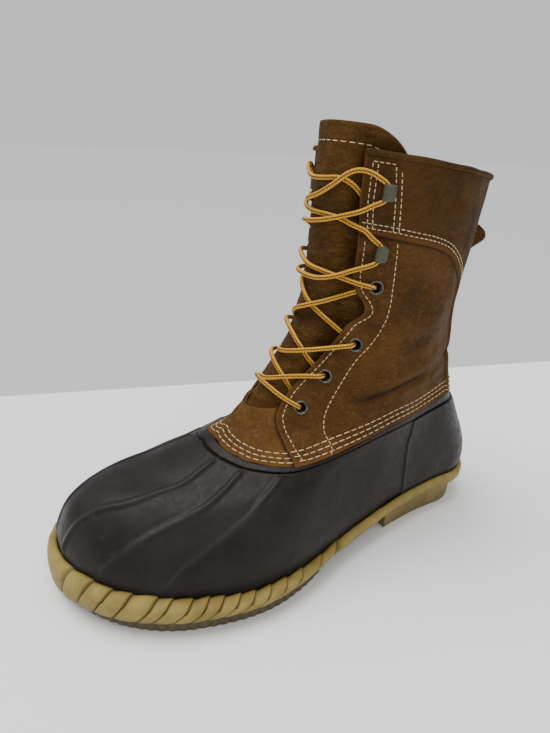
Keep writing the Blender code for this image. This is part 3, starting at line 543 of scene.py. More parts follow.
def tongue_skin(u, v):
    """Height of the tongue's outer face over the last, and the painted shade in its creases."""
    across = (np.asarray(u, float) - 0.5) / 0.165
    inside = 1.0 - np.clip((v - THROAT_V - 0.010) / 0.04, 0, 1)
    deep = LEATHER + FLAP_STEP + 0.0007
    free = LEATHER + 0.0002
    flank = ease((np.abs(across) - 0.45) / 0.30)
    d = free + (deep - free) * inside
    d = np.maximum(d, free + 0.0034 * flank * ease((1.03 - v) / 0.05) + 0.0024 * flank)
    x = u * GIRTH
    y = v * CLIMB
    bend = waves(x, y, 12, 0.045) * 3.0 * MM
    height = np.zeros(np.shape(x))
    dark = np.zeros(np.shape(x))
    # level in v, half width in mm, depth in mm
    for level, wide, depth in ((0.690, 2.6, -1.3), (0.703, 3.0, 0.8), (0.750, 2.0, -0.5),
                               (0.766, 2.4, 0.4), (0.792, 1.8, -0.5), (0.812, 1.5, -0.5),
                               (0.826, 1.3, -0.45), (0.838, 1.4, -0.5), (0.851, 1.3, -0.4),
                               (0.868, 2.2, 0.5), (0.640, 2.4, -0.8), (0.652, 3.0, 0.5),
                               (0.600, 2.2, -0.6), (0.560, 2.2, -0.5), (0.900, 3.0, -0.4),
                               (0.935, 3.5, 0.4)):
        slope = 0.10 * (level - 0.75)
        gap = y + bend - level * CLIMB - (x - 0.5 * GIRTH) * slope
        shape = bell(gap, wide * MM) * (1 - 0.5 * np.abs(across))
        height = height + shape * depth * MM
        # troughs get painted shade
        if depth < 0:
            dark = np.maximum(dark, shape * min(1.0, -depth / 1.0))
    height = height + waves(x, y * 2.5, 13, 0.022) * 0.22 * MM
    return height - d, dark


def linked(name, data):
    """A new object in the scene."""
    made = bpy.data.objects.new(name, data)
    bpy.context.scene.collection.objects.link(made)
    return made


def camera():
    """The camera at the photograph's place."""
    azimuth = math.radians(59.96)
    pitch = math.radians(21.55)
    roll = math.radians(2.9)
    ahead = Vector((-math.sin(azimuth) * math.cos(pitch), math.cos(azimuth) * math.cos(pitch),
                    -math.sin(pitch)))
    right = Vector((math.cos(azimuth), math.sin(azimuth), 0.0))
    up = right.cross(ahead)
    turned_right = right * math.cos(roll) + up * math.sin(roll)
    turned_up = up * math.cos(roll) - right * math.sin(roll)
    data = bpy.data.cameras.new("camera")
    data.sensor_width = SENSOR
    data.sensor_fit = "AUTO"
    data.lens = FOCAL_PIXELS / PHOTO_HEIGHT * SENSOR
    data.clip_start = 0.01
    made = linked("camera", data)
    place = Matrix((turned_right, turned_up, -ahead)).transposed().to_4x4()
    place.translation = Vector((0.2737, -0.1765, 0.2491))
    made.matrix_world = place
    bpy.context.scene.camera = made


class Look:
    """A material and short calls to add its nodes."""

    def __init__(self, name, roughness=0.6, metallic=0.0, specular=0.5):
        self.material = bpy.data.materials.new(name)
        self.material.use_nodes = True
        self.tree = self.material.node_tree
        self.shader = self.tree.nodes["Principled BSDF"]
        self.shader.inputs["Roughness"].default_value = roughness
        self.shader.inputs["Metallic"].default_value = metallic
        self.shader.inputs["Specular IOR Level"].default_value = specular
        self.place = self.tree.nodes.new("ShaderNodeTexCoord").outputs["Object"]

    def put(self, value, socket):
        if isinstance(value, bpy.types.NodeSocket):
            self.tree.links.new(value, socket)
        elif value is not None:
            socket.default_value = value

    def attribute(self, name):
        node = self.tree.nodes.new("ShaderNodeAttribute")
        node.attribute_name = name
        return node.outputs["Fac"]

    def stretched(self, x, y, z):
        node = self.tree.nodes.new("ShaderNodeMapping")
        self.put(self.place, node.inputs["Vector"])
        node.inputs["Scale"].default_value = (x, y, z)
        return node.outputs["Vector"]

    def noise(self, size, detail=2.0, roughness=0.5, vector=None, distortion=0.0):
        node = self.tree.nodes.new("ShaderNodeTexNoise")
        self.put(vector or self.place, node.inputs["Vector"])
        node.inputs["Scale"].default_value = 1.0 / size
        node.inputs["Detail"].default_value = detail
        node.inputs["Roughness"].default_value = roughness
        node.inputs["Distortion"].default_value = distortion
        return node.outputs["Fac"]

    def cells(self, size):
        node = self.tree.nodes.new("ShaderNodeTexVoronoi")
        self.put(self.place, node.inputs["Vector"])
        node.inputs["Scale"].default_value = 1.0 / size
        return node.outputs["Distance"]

    def math(self, kind, a, b=None, c=None):
        node = self.tree.nodes.new("ShaderNodeMath")
        node.operation = kind
        for value, socket in zip((a, b, c), node.inputs):
            self.put(value, socket)
        return node.outputs[0]

    def spread(self, value, low, high, to_low=0.0, to_high=1.0):
        node = self.tree.nodes.new("ShaderNodeMapRange")
        node.interpolation_type = "SMOOTHSTEP"
        for key, number in (("Value", value), ("From Min", low), ("From Max", high),
                            ("To Min", to_low), ("To Max", to_high)):
            self.put(number, node.inputs[key])
        return node.outputs["Result"]

    def mix(self, share, a, b):
        node = self.tree.nodes.new("ShaderNodeMix")
        node.data_type = "RGBA"
        for value, index in ((share, 0), (a, 6), (b, 7)):
            if isinstance(value, tuple) and len(value) == 3:
                value = (*value, 1.0)
            self.put(value, node.inputs[index])
        return node.outputs[2]

    def between(self, value, low, high, a, b):
        """A tone that passes from a to b while the value climbs from low to high."""
        return self.mix(self.spread(value, low, high), a, b)

    def over(self, tone, colour, share, value, *span):
        """The tone with a colour laid over it where the value is high in its span."""
        if span:
            value = self.spread(value, *span)
        return self.mix(self.math("MULTIPLY", value, share), tone, colour)

    def bump(self, height, depth, base=None, strength=1.0):
        node = self.tree.nodes.new("ShaderNodeBump")
        node.inputs["Strength"].default_value = strength
        node.inputs["Distance"].default_value = depth
        self.put(height, node.inputs["Height"])
        if base is not None:
            self.put(base, node.inputs["Normal"])
        return node.outputs["Normal"]

    def finish(self, colour, rough=None, shape=None):
        self.put(colour if not isinstance(colour, tuple) else (*colour, 1.0),
                 self.shader.inputs["Base Color"])
        self.put(rough, self.shader.inputs["Roughness"])
        if shape is not None:
            self.put(shape, self.shader.inputs["Normal"])
        return self.material


def leather_look(name, dark, main, light, wrinkled=0.0):
    """Oiled nubuck: cloudy tone, scuffs, burnished edges, painted shade in creases and under
    overlapping edges, fine grain.
    """
    look = Look(name, 0.66, specular=0.07)
    cloud = look.noise(0.030, 4.0, 0.55, distortion=0.3)
    blot = look.noise(0.009, 3.0, 0.6)
    fine = look.noise(0.0011, 3.0, 0.7)
    streak = look.noise(0.0045, 4.0, 0.6, look.stretched(1.0, 1.0, 1.9), 1.2)
    tone = look.between(cloud, 0.30, 0.72, dark, main)
    tone = look.over(tone, light, 0.45, streak, 0.50, 0.72)
    tone = look.over(tone, dark, 0.55, streak, 0.48, 0.32)
    tone = look.over(tone, dark, 0.35, blot, 0.56, 0.75)
    tone = look.over(tone, light, 0.30, fine, 0.45, 0.75)
    tone = look.over(tone, (0.130, 0.055, 0.0130), 0.75, look.attribute("edge"))
    # painted shade: near black in crease troughs, under the collar panel's edge and beside the flap's
    # edge
    tone = look.over(tone, (0.016, 0.007, 0.0025), 0.90, look.attribute("painted_shade"))
    pores = look.cells(0.0010)
    grain = look.noise(0.0018, 5.0, 0.65)
    shape = look.bump(pores, 0.00016, strength=0.6)
    shape = look.bump(grain, 0.00042, shape, strength=0.8)
    shape = look.bump(streak, 0.0009, shape, strength=0.7)
    if wrinkled:
        folds = look.noise(0.0060, 4.0, 0.6, look.stretched(1.0, 1.0, wrinkled), 0.9)
        shape = look.bump(folds, 0.0012, shape, strength=0.8)
        # painted shade in the folds' troughs and a painted highlight on their crests
        tone = look.over(tone, dark, 0.7, folds, 0.46, 0.30)
        tone = look.over(tone, light, 0.4, folds, 0.54, 0.72)
    return look.finish(tone, look.spread(blot, 0.3, 0.7, 0.52, 0.74), shape)


def edge_look():
    """Raw cut edge of the leather."""
    look = Look("raw_edge", 0.85, specular=0.2)
    fleck = look.noise(0.0012, 4.0, 0.7)
    wide = look.noise(0.010, 2.0, 0.5)
    tone = look.between(fleck, 0.35, 0.7, (0.040, 0.016, 0.0045), (0.150, 0.068, 0.0190))
    tone = look.between(wide, 0.45, 0.75, tone, (0.070, 0.030, 0.009))
    return look.finish(tone, None, look.bump(fleck, 0.0003))


def lining_look():
    """Smooth flesh side of the leather inside the shaft."""
    look = Look("lining", 0.85, specular=0.2)
    nap = look.noise(0.0010, 4.0, 0.7)
    cloud = look.noise(0.020, 3.0, 0.5)
    tone = look.between(cloud, 0.3, 0.7, (0.045, 0.022, 0.008), (0.085, 0.043, 0.016))
    tone = look.over(tone, (0.12, 0.068, 0.028), 0.25, nap)
    return look.finish(tone, None, look.bump(nap, 0.0003))


def rubber_look():
    """Dark brown moulded rubber with dust and scuffs, painted shade in its grooves and a painted
    highlight on its ridges and seam.
    """
    look = Look("rubber", 0.46, specular=0.15)
    cloud = look.noise(0.028, 4.0, 0.55)
    dust = look.noise(0.004, 5.0, 0.7, distortion=0.4)
    speck = look.cells(0.0042)
    tone = look.between(cloud, 0.3, 0.7, (0.0085, 0.0066, 0.0060), (0.0140, 0.0112, 0.0102))
    tone = look.over(tone, (0.036, 0.031, 0.028), 0.35, dust, 0.50, 0.78)
    tone = look.over(tone, (0.10, 0.08, 0.055), 0.35, speck, 0.050, 0.030)
    # painted shade in the groove under the band, in the tuck under the leather and beside the counter
    # seam
    tone = look.over(tone, (0.0025, 0.0022, 0.0022), 0.85, look.attribute("groove"))
    # painted highlight on the ridges' tops and the counter seam's bead
    tone = look.over(tone, (0.060, 0.052, 0.046), 0.6, look.attribute("painted_highlight"))
    fine = look.noise(0.0007, 3.0, 0.6)
    rough = look.spread(dust, 0.35, 0.75, 0.36, 0.58)
    shape = look.bump(fine, 0.00005, strength=0.6)
    shape = look.bump(look.noise(0.010, 2.0, 0.5), 0.0006, shape, strength=0.35)
    return look.finish(tone, rough, shape)


def gum_look():
    """Gum rubber, darker in its grooves and on its lower faces, with dirt and painted shade."""
    look = Look("gum", 0.55, specular=0.22)
    cloud = look.noise(0.016, 4.0, 0.55)
    grime = look.noise(0.0030, 5.0, 0.7)
    tone = look.between(cloud, 0.3, 0.7, (0.208, 0.149, 0.032), (0.315, 0.234, 0.058))
    tone = look.over(tone, (0.125, 0.092, 0.034), 0.40, grime, 0.52, 0.78)
    # darker in the grooves: dirt and painted shade
    tone = look.over(tone, (0.040, 0.027, 0.008), 0.90, look.attribute("groove"))
    # dirt and painted shade on the lugs' undersides, the tread's side under the lugs and the
    # underside
    tone = look.over(tone, (0.060, 0.050, 0.033), 0.80, look.attribute("dirt_and_shade"))
    rough = look.spread(grime, 0.3, 0.7, 0.48, 0.68)
    shape = look.bump(look.noise(0.0012, 3.0, 0.6), 0.00010, strength=0.6)
    return look.finish(tone, rough, shape)


def brass_look(name, dark, bright, metal):
    """Worn plated metal, painted near black where it lies deep inside a barrel."""
    look = Look(name, 0.42, metal)
    wear = look.noise(0.0016, 4.0, 0.65)
    tone = look.between(wear, 0.35, 0.68, dark, bright)
    # painted shade: near black on the faces marked deep inside the barrel
    tone = look.mix(look.attribute("deep"), tone, (0.003, 0.0025, 0.002))
    rough = look.spread(wear, 0.3, 0.7, 0.32, 0.55)
    return look.finish(tone, rough, look.bump(wear, 0.00008, strength=0.5))


def lace_look():
    """Round braid: gold with a dashed brown line along it."""
    look = Look("lace", 0.72, specular=0.2)
    run = look.attribute("run")
    front = look.attribute("front")
    side = look.attribute("side")
    step = look.math("FRACT", look.math("DIVIDE", run, 0.00125))
    dash = look.math("MULTIPLY", look.spread(step, 0.05, 0.25), look.spread(step, 0.85, 0.62))
    # three dashed lines around the cord: the cosine of three times the angle
    cube = look.math("MULTIPLY", look.math("MULTIPLY", front, front), front)
    triple = look.math("SUBTRACT", look.math("MULTIPLY", cube, 4.0),
                       look.math("MULTIPLY", front, 3.0))
    line = look.spread(triple, 0.20, 0.60)
    weave = look.math("SINE", look.math("MULTIPLY", run, 5200.0))
    twist = look.math("MULTIPLY", side, 5.0)
    diagonal = look.math("SINE", look.math("ADD", look.math("MULTIPLY", run, 3300.0), twist))
    tone = look.between(diagonal, -1.0, 1.0, (0.44, 0.205, 0.014), (0.66, 0.370, 0.045))
    share = look.math("MULTIPLY", line, look.math("MULTIPLY_ADD", dash, 0.35, 0.62))
    tone = look.mix(share, tone, (0.045, 0.013, 0.004))
    dirt_and_shade = look.noise(0.006, 3.0, 0.6)
    tone = look.over(tone, (0.26, 0.115, 0.020), 0.35, dirt_and_shade, 0.5, 0.8)
    height = look.math("ADD", weave, diagonal)
    return look.finish(tone, None, look.bump(height, 0.00012, strength=0.8))


def thread_look():
    """Cream sewing thread."""
    look = Look("thread", 0.7, specular=0.25)
    fleck = look.noise(0.0009, 2.0, 0.5)
    tone = look.between(fleck, 0.35, 0.7, (0.40, 0.29, 0.155), (0.68, 0.53, 0.32))
    return look.finish(tone, None, look.bump(fleck, 0.00010))


def felt_look():
    """Fabric top of the insole."""
    look = Look("insole_fabric", 0.95, specular=0.15)
    warp = look.math("SINE", look.math("MULTIPLY", look.noise(0.0012, 1.0), 20.0))
    cloud = look.noise(0.018, 3.0, 0.5)
    tone = look.between(cloud, 0.3, 0.7, (0.085, 0.066, 0.048), (0.150, 0.120, 0.088))
    return look.finish(tone, None, look.bump(warp, 0.00025))


def mesh_object(name, points, faces, look, values=None):
    """A mesh object from arrays of points and quads, on the root body."""
    points = np.asarray(points, float).reshape(-1, 3)
    faces = np.asarray(faces, np.int64)
    used, back = np.unique(faces, return_inverse=True)
    faces = back.reshape(faces.shape).astype(np.int32)
    mesh = bpy.data.meshes.new(name)
    mesh.vertices.add(len(used))
    mesh.vertices.foreach_set("co", points[used].astype(np.float32).ravel())
    mesh.loops.add(faces.size)
    mesh.loops.foreach_set("vertex_index", faces.ravel())
    mesh.polygons.add(len(faces))
    mesh.polygons.foreach_set("loop_start", np.arange(0, faces.size, 4, dtype=np.int32))
    mesh.polygons.foreach_set("loop_total", np.full(len(faces), 4, dtype=np.int32))
    mesh.polygons.foreach_set("use_smooth", np.full(len(faces), True))
    mesh.update(calc_edges=True)
    mesh.validate()
    for key, value in (values or {}).items():
        value = np.broadcast_to(np.asarray(value, float).ravel(), (len(points),))
        layer = mesh.attributes.new(key, "FLOAT", "POINT")
        layer.data.foreach_set("value", value[used].astype(np.float32))
    mesh.materials.append(look)
    made = linked(name, mesh)
    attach(made, "root")
    return made


def grid_faces(rows, cols, wrap=False, keep=None, flip=False, start=0):
    """Quads over a grid, facing outwards where rows climb and columns follow u."""
    r, c = np.meshgrid(np.arange(rows - 1), np.arange(cols if wrap else cols - 1), indexing="ij")
    d = (c + 1) % cols
    quads = np.stack([r * cols + c, (r + 1) * cols + c, (r + 1) * cols + d, r * cols + d], -1)
    if keep is not None:
        quads = quads[np.asarray(keep, bool)[:, :quads.shape[1]]]
    quads = quads.reshape(-1, 4) + start
    return quads[:, ::-1] if flip else quads


def strip(top, low):
    """Rows of points for a rounded cut edge between two lines."""
    down = low - top
    side = np.cross(np.gradient(top, axis=0), down)
    side = side / np.maximum(np.linalg.norm(side, axis=1)[:, None], 1e-9)
    rows = []
    for t in np.linspace(0, 1, 7):
        push = math.sin(math.pi * t) ** 0.7 * EDGE_BULGE
        rows.append(top + down * t + side * push)
    return np.array(rows)


def plain_strip(top, low):
    """Rows of points for a flat cut edge between two lines."""
    return np.array([top + (low - top) * k for k in np.linspace(0, 1, 6)])


def stripes(name, lines, look, edge=1.0):
    """One object from several strips, each rows by columns of points."""
    points = []
    faces = []
    start = 0
    for rows in lines:
        count, cols = rows.shape[:2]
        points.append(rows.reshape(-1, 3))
        faces.append(grid_faces(count, cols, start=start))
        start += count * cols
    return mesh_object(name, np.concatenate(points), np.concatenate(faces), look,
                       {"edge": edge, "painted_shade": 0.0})


QUARTER_COLS = 361
QUARTER_ROWS = 170
# Heights of the three rows of stitches above the lower edge
ROWS = (0.0026, 0.0058, 0.0090)
# Flare of that edge on the quarters and the vamp: metres out, reach in mm
LOW_FLARE = (0.0007, 5.5)
VAMP_FLARE = (0.0011, 6)


def flap_row(v):
    """Distance of the flap's row of stitches from its front edge, in metres."""
    return np.interp(v, (0.36, 0.42, 0.50), (2.4, 2.6, 3.4)) * MM


def flare(gap, lift, reach):
    """How far the leather stands out near its lower edge, gap in metres and reach in mm."""
    return lift * (1 - ease((gap + 1.0 * MM) / (reach * MM)))


def sewn(d, gap, rows, wide):
    """d pulled in a little along rows of stitches at the given gaps."""
    for level in rows:
        d = d - STITCH_PULL * bell(gap - level, wide)
    return d


def quarter_columns():
    """Column places: -1 inner flap edge, 0 back seam, 1 outer flap edge, denser at edges."""
    s = np.linspace(-1, 1, QUARTER_COLS)
    return s + 0.055 * np.sin(np.pi * s) * np.abs(s)


def quarter_place(s, t):
    """u, v of the quarters at column s and row t from the lower edge to the collar."""
    u = s * 0.38
    v = np.zeros(np.broadcast(s, t).shape)
    for _ in range(5):
        low = np.interp(np.abs(u), (0.0, 0.20, 0.28, 0.305, 0.322),
                        (0.001, 0.0, -0.003, -0.001, 0.004))
        bottom = leather_edge(u) - low + waves(u * GIRTH, 0 * u, 9, 0.011) * 0.0007
        v = bottom + (COLLAR_V - bottom) * t
        # the inner flap stands back a little at the top
        u = s * (flap_edge(v) - INNER_BACK * (s < 0) * ease((v - 0.70) / 0.10))
    return u, v


def opened(u, v):
    """u, v moved clear of the eyelets' holes, and a mask of the faces that stay."""
    hole = 3.0 * MM
    reach = 6.5 * MM
    for eye_u, eye_v in EYELETS:
        for side in (1, -1):
            x = (u - side * eye_u) * GIRTH
            y = (v - eye_v) * CLIMB
            far = np.maximum(np.hypot(x, y), 1e-6)
            moved = np.where(far < reach, hole + (reach - hole) * (far / reach) ** 1.2, far)
            u = side * eye_u + x * moved / far / GIRTH
            v = eye_v + y * moved / far / CLIMB
    return u, v, holed(u, v, LEATHER_HOLE)


def holed(u, v, size):
    """Mask of the faces of a grid that stay clear of the eyelets' holes."""
    middle_u, middle_v = ((x[1:, 1:] + x[:-1, 1:] + x[1:, :-1] + x[:-1, :-1]) / 4 for x in (u, v))
    keep = np.ones(middle_u.shape, bool)
    for eye_u, eye_v in EYELETS:
        for side in (1, -1):
            far = np.hypot((middle_u - side * eye_u) * GIRTH, (middle_v - eye_v) * CLIMB)
            keep &= far > size
    return keep


def quarters():
    """Both quarters and the back as one sheet of leather from flap to flap."""
    s, t = np.meshgrid(quarter_columns(), np.linspace(0, 1, QUARTER_ROWS) ** 1.25)
    u, v = quarter_place(s, t)
    u, v, keep = opened(u, v)
    lower = edge_gap(u, v)
    # rows of stitches pull the leather in a little
    d = sewn(skin(u, v) + flare(lower, *LOW_FLARE), lower, ROWS, 0.9 * MM)
    front = (1 - np.abs(s)) * flap_edge(v) * GIRTH
    d = d - 0.22 * MM * bell(front - flap_row(v), 1.0 * MM)
    d = d - RIM_DROP * bell(front, 0.7 * MM)
    edge = np.maximum(0.45 * bell(front, 0.7 * MM), 0.5 * bell(lower - 0.2 * MM, 1.3 * MM))
    edge = edge + 0.25 * np.clip(waves(u * GIRTH, v * CLIMB, 8, 0.012), 0, 1) * (front < 9 * MM)
    # painted shade: the crease troughs, and a painted shadow just under the collar panel's edge
    under_panel = bell((panel_edge(u) - v) * CLIMB, 1.5 * MM)
    shade = np.maximum(creases(u, v)[1], 0.95 * under_panel * (np.abs(u) > STRAP_EDGE))
    points = at(u, v, d)
    made = mesh_object("quarters", points, grid_faces(*u.shape, keep=keep), LEATHER_LOOK,
                       {"edge": np.clip(edge, 0, 1), "painted_shade": shade})
    low = at(u, v, d - LEATHER)
    rim = [strip(points[0], low[0])[::-1], strip(points[:, -1], low[:, -1]),
           strip(points[::-1, 0], low[::-1, 0])]
    edges = stripes("quarter_edges", rim, EDGE_LOOK)
    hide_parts("upper")
    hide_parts("upper")
    step = slice(None, None, 3)
    inner = at(u[step, step], v[step, step], d[step, step] - LEATHER)
    clear = holed(u[step, step], v[step, step], LINING_HOLE)
    lining = mesh_object("lining", inner, grid_faces(*inner.shape[:2], keep=clear, flip=True),
                         LINING_LOOK)
    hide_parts("upper")


# Distances of the panel's two rows of stitches from its edge
PANEL_ROWS = (0.0030, 0.0052)
# The grid: columns from the back seam to the strip's edge, rows of the strip and of the panel
STRIP_COLS = 34
STRIP_ROWS = 90
PANEL_GRID_ROWS = 60


def panel_place():
    """u, v of the collar panel and the strip below it, and a mask of the faces to keep."""
    half = np.concatenate([np.linspace(0, 1, STRIP_COLS), 1 + np.linspace(0, 1, 120)[1:]])
    cols = np.concatenate([-half[:0:-1], half])
    share = np.abs(cols)
    us = []
    vs = []
    for i in range(STRIP_ROWS + PANEL_GRID_ROWS):
        u = np.where(share <= 1, share * STRAP_EDGE, STRAP_EDGE + (share - 1) * 0.29)
        for _ in range(5):
            if i < STRIP_ROWS:
                bottom = leather_edge(u) + 0.002
                v = bottom + (panel_edge(np.full(len(u), STRAP_EDGE)) - bottom) * i / STRIP_ROWS
            else:
                bottom = panel_edge(np.maximum(u, STRAP_EDGE))
                v = bottom + (COLLAR_V - bottom) * ((i - STRIP_ROWS) / (PANEL_GRID_ROWS - 1)) ** 1.2
            reach = flap_edge(v) - STRAP_EDGE - INNER_BACK * (cols < 0)
            u = np.where(share <= 1, share * STRAP_EDGE, STRAP_EDGE + (share - 1) * reach)
        us.append(np.sign(cols) * u)
        vs.append(v)
    keep = np.ones((len(us) - 1, len(cols) - 1), bool)
    middle = np.abs((cols[:-1] + cols[1:]) / 2) > 1
    keep[:STRIP_ROWS][:, middle] = False
    return np.array(us), np.array(vs), keep


def collar_panel():
    """The collar panel and the strip down the back seam, one raised sheet over the quarters."""
    u, v, keep = panel_place()
    fold = np.abs(u)
    gap = np.where(v > 0.728, (v - panel_edge(fold)) * CLIMB, (STRAP_EDGE - fold) * GIRTH)
    gap = np.where(fold < STRAP_EDGE, np.maximum(gap, (STRAP_EDGE - fold) * GIRTH), gap)
    gap = np.maximum(gap, 0)
    # a turned edge: full at the rim, pulled in along the two rows of stitches
    d = skin(u, v) + PANEL_STEP - 0.5 * MM * bell(gap, 0.6 * MM)
    d = d + 0.35 * MM * bell(gap - 1.4 * MM, 1.0 * MM)
    d = sewn(d, gap, PANEL_ROWS, 0.7 * MM)
    front = (flap_edge(v) - INNER_BACK * (u < 0) - fold) * GIRTH
    d = d - RIM_DROP * bell(front, 0.7 * MM)
    edge = np.maximum(0.6 * bell(gap - 1.0 * MM, 1.2 * MM), 0.6 * bell(front, 0.8 * MM))
    points = at(u, v, d)
    # painted shade in the crease troughs
    made = mesh_object("collar_panel", points, grid_faces(*u.shape, keep=keep), PANEL_LOOK,
                       {"edge": edge * 0.9, "painted_shade": creases(u, v)[1]})
    low = at(u, v, d - PANEL_STEP - 0.0004)
    left = (u.shape[1] + 1) // 2 - STRIP_COLS
    right = left + 2 * (STRIP_COLS - 1)
    rim = []
    # along the panel's lower edge, down both sides of the strip, below it, and the two fronts
    for part, turn in (((STRIP_ROWS, slice(right, None)), True),
                       ((STRIP_ROWS, slice(None, left + 1)), True),
                       ((slice(None, STRIP_ROWS + 1), right), False),
                       ((slice(STRIP_ROWS, None, -1), left), False),
                       ((0, slice(left, right + 1)), True),
                       ((slice(STRIP_ROWS, None), -1), False),
                       ((slice(None, STRIP_ROWS - 1, -1), 0), False)):
        rows = strip(points[part], low[part])
        rim.append(rows[::-1] if turn else rows)
    edges = stripes("panel_edges", rim, EDGE_LOOK)
    for piece, slot in ((made, "leather"), (edges, "leather_edge")):
        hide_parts("upper")


def vamp_place(s, t):
    """u, v of the leather vamp, s from -1 to 1 across, t up to the throat."""
    v = np.full(np.broadcast(s, t).shape, 0.42)
    for _ in range(6):
        edge = np.minimum(flap_edge(np.maximum(v, FLAP_START)), 0.5) - 0.030
        u = 0.5 + s * (0.5 - edge)
        bottom = leather_edge(u) - 0.001 + waves(u * GIRTH, 0 * u, 10, 0.011) * 0.0012
        top = THROAT_V - 0.004 + 0.014 * s ** 2
        v = bottom + (top - bottom) * t
    return u, v


def vamp():
    """The leather vamp between and under the lace flaps."""
    s, t = np.meshgrid(np.linspace(-1, 1, 260), np.linspace(0, 1, 110))
    u, v = vamp_place(s, t)
    lower = edge_gap(u, v)
    relief = waves(u * GIRTH, v * CLIMB, 21, 0.020) * 0.22 * MM
    # folds: stops in u, v, half width in mm, depth in mm
    for path, wide, deep in ((((0.44, 0.430), (0.50, 0.437), (0.56, 0.430)), 3.0, -0.5),
                             (((0.43, 0.455), (0.47, 0.463), (0.53, 0.462)), 2.6, -0.5),
                             (((0.45, 0.475), (0.50, 0.480), (0.56, 0.473)), 2.2, -0.4)):
        gap = path_gap(u, v, path)[0]
        relief = relief + bell(gap, wide * MM) * deep * MM
    d = VAMP_LEVEL + relief * ease(lower / (16 * MM))
    d = sewn(d + flare(lower, *VAMP_FLARE), lower, ROWS, 0.9 * MM)
    edge = 0.5 * bell(lower - 0.2 * MM, 1.3 * MM)
    # painted shadow of the flap's edge on the vamp beside it
    beside = (np.minimum(u, 1 - u) - flap_edge(v)) * GIRTH
    dark = 0.95 * bell(beside - 0.3 * MM, 0.9 * MM)
    points = at(u, v, d)
    made = mesh_object("vamp", points, grid_faces(*u.shape), VAMP_LOOK,
                       {"edge": edge, "painted_shade": dark})
    low = at(u, v, d - LEATHER)
    rim = [strip(points[0], low[0])[::-1], strip(points[-1], low[-1])[::-1, ::-1]]
    edges = stripes("vamp_edges", rim, EDGE_LOOK)
    for piece, slot in ((made, "leather"), (edges, "leather_edge")):
        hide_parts("upper")


# Lines of the three moulded ridges of a side: stops in u, v
RIDGES = (
    ((0.330, 0.345), (0.324, 0.285), (0.325, 0.240), (0.334, 0.210), (0.344, 0.185),
     (0.356, 0.160), (0.366, 0.138), (0.373, 0.103), (0.378, 0.075)),
    ((0.372, 0.356), (0.363, 0.297), (0.363, 0.258), (0.375, 0.228), (0.390, 0.202),
     (0.403, 0.175), (0.417, 0.145), (0.425, 0.115), (0.430, 0.088)),
    ((0.425, 0.376), (0.410, 0.314), (0.418, 0.280), (0.431, 0.250), (0.454, 0.225),
     (0.468, 0.188), (0.477, 0.135), (0.480, 0.090), (0.483, 0.060)),
)


def line_gap(points, line):
    """Distance in metres from each point to a line in space, and its share."""
    best = np.full(len(points), 1.0)
    part = np.zeros(len(points))
    count = len(line) - 1
    for k in range(count):
        a = line[k]
        run = line[k + 1] - a
        t = np.clip(((points - a) @ run) / run.dot(run), 0, 1)
        far = np.linalg.norm(points - a - t[:, None] * run, axis=1)
        closer = far < best
        best = np.where(closer, far, best)
        part = np.where(closer, (k + t) / count, part)
    return best, part


def ridge_relief(u, v):
    """Height of the moulded ridges of the rubber, and the painted highlight along their tops."""
    spot = last(u, v).reshape(*u.shape, 3)
    height = np.zeros(u.shape)
    bright = np.zeros(u.shape)
    fine = np.linspace(0, 1, 60)
    for path in RIDGES:
        stops = np.array(path)
        knots = np.linspace(0, 1, len(stops))
        line_v = smooth(fine, knots, stops[:, 1])
        for flip in (False, True):
            line_u = smooth(fine, knots, stops[:, 0])
            line = last(1 - line_u if flip else line_u, line_v)
            near = (u > 0.5 if flip else u <= 0.5) & (v < 0.42)
            gap = np.full(u.shape, 1.0)
            share = np.zeros(u.shape)
            gap[near], share[near] = line_gap(spot[near], line)
            fade = ease((1 - share) / 0.16) * ease((share + 0.10) / 0.12)
            welt = bell(gap, 1.5 * MM) * 0.85 + bell(gap, 5.0 * MM) * 0.35
            welt = welt - bell(gap - 3.0 * MM, 1.5 * MM) * 0.14
            height = height + welt * MM * fade
            # painted highlight along each ridge's crest
            bright = np.maximum(bright, bell(gap, 0.9 * MM) * fade)
    return height, bright


def rubber_grid():
    """Columns u, the grid of v, and each point's height in metres over the band's lower edge."""
    # finer at the counter seam and over the ridges
    half = np.concatenate([np.linspace(0, 0.162, 56), np.linspace(0.162, 0.190, 54)[1:],
                           np.linspace(0.190, 0.315, 66)[1:], np.linspace(0.315, 0.5, 160)[1:]])
    u = np.concatenate([half, 1 - half[-2:0:-1]])
    edge = leather_edge(u)
    band = edge - rise_in_v(u, edge, BAND_HEIGHT)
    share = np.concatenate([np.linspace(0, 0.955, 84), 1 - 0.045 * np.linspace(0.93, 0, 14) ** 1.5])
    heights = np.concatenate([np.linspace(0.22, 2.0, 9), np.linspace(2.4, 6.6, 14),
                              [6.9, 7.2, 7.5]]) * MM
    per = rise_in_v(u, edge, 1.0)
    v = np.concatenate([0.012 + (band - 0.012)[None, :] * share[:, None] + 0 * u,
                        band[None, :] + per[None, :] * heights[:, None],
                        (edge + per * 4 * MM)[None, :]])
    return u, v, (v - band[None, :]) / per[None, :]


def hand_made(u, v, over, below):
    """Soft dents of the rubber and the flex folds behind the toes."""
    spot = last(u, v).reshape(*v.shape, 3)
    calm = ease((-over - 2 * MM) / (14 * MM)) * ease((v - 0.03) / 0.05)
    x = spot[..., 0] * 0.8 + spot[..., 2] * 0.6
    height = waves(x, spot[..., 1], 31, 0.060) * 0.38 * MM * calm
    height = height + waves(x, spot[..., 1], 32, 0.024) * 0.10 * MM * calm
    # stops in u, v, half width in mm, depth in mm
    for path, wide, deep in ((((0.306, 0.250), (0.316, 0.200), (0.330, 0.150)), 7.0, -0.7),
                             (((0.262, 0.330), (0.262, 0.250), (0.270, 0.170)), 8.0, -0.5),
                             (((0.240, 0.180), (0.280, 0.120), (0.330, 0.095)), 8.0, -0.5)):
        for side_u in (u, 1 - u):
            gap, part = path_gap(side_u, v, path, *FOLD_SCALE)
            fold = bell(gap, wide * MM) * ease(part / 0.3) * ease((1 - part) / 0.3)
            height = height + fold * deep * MM * below
    return height


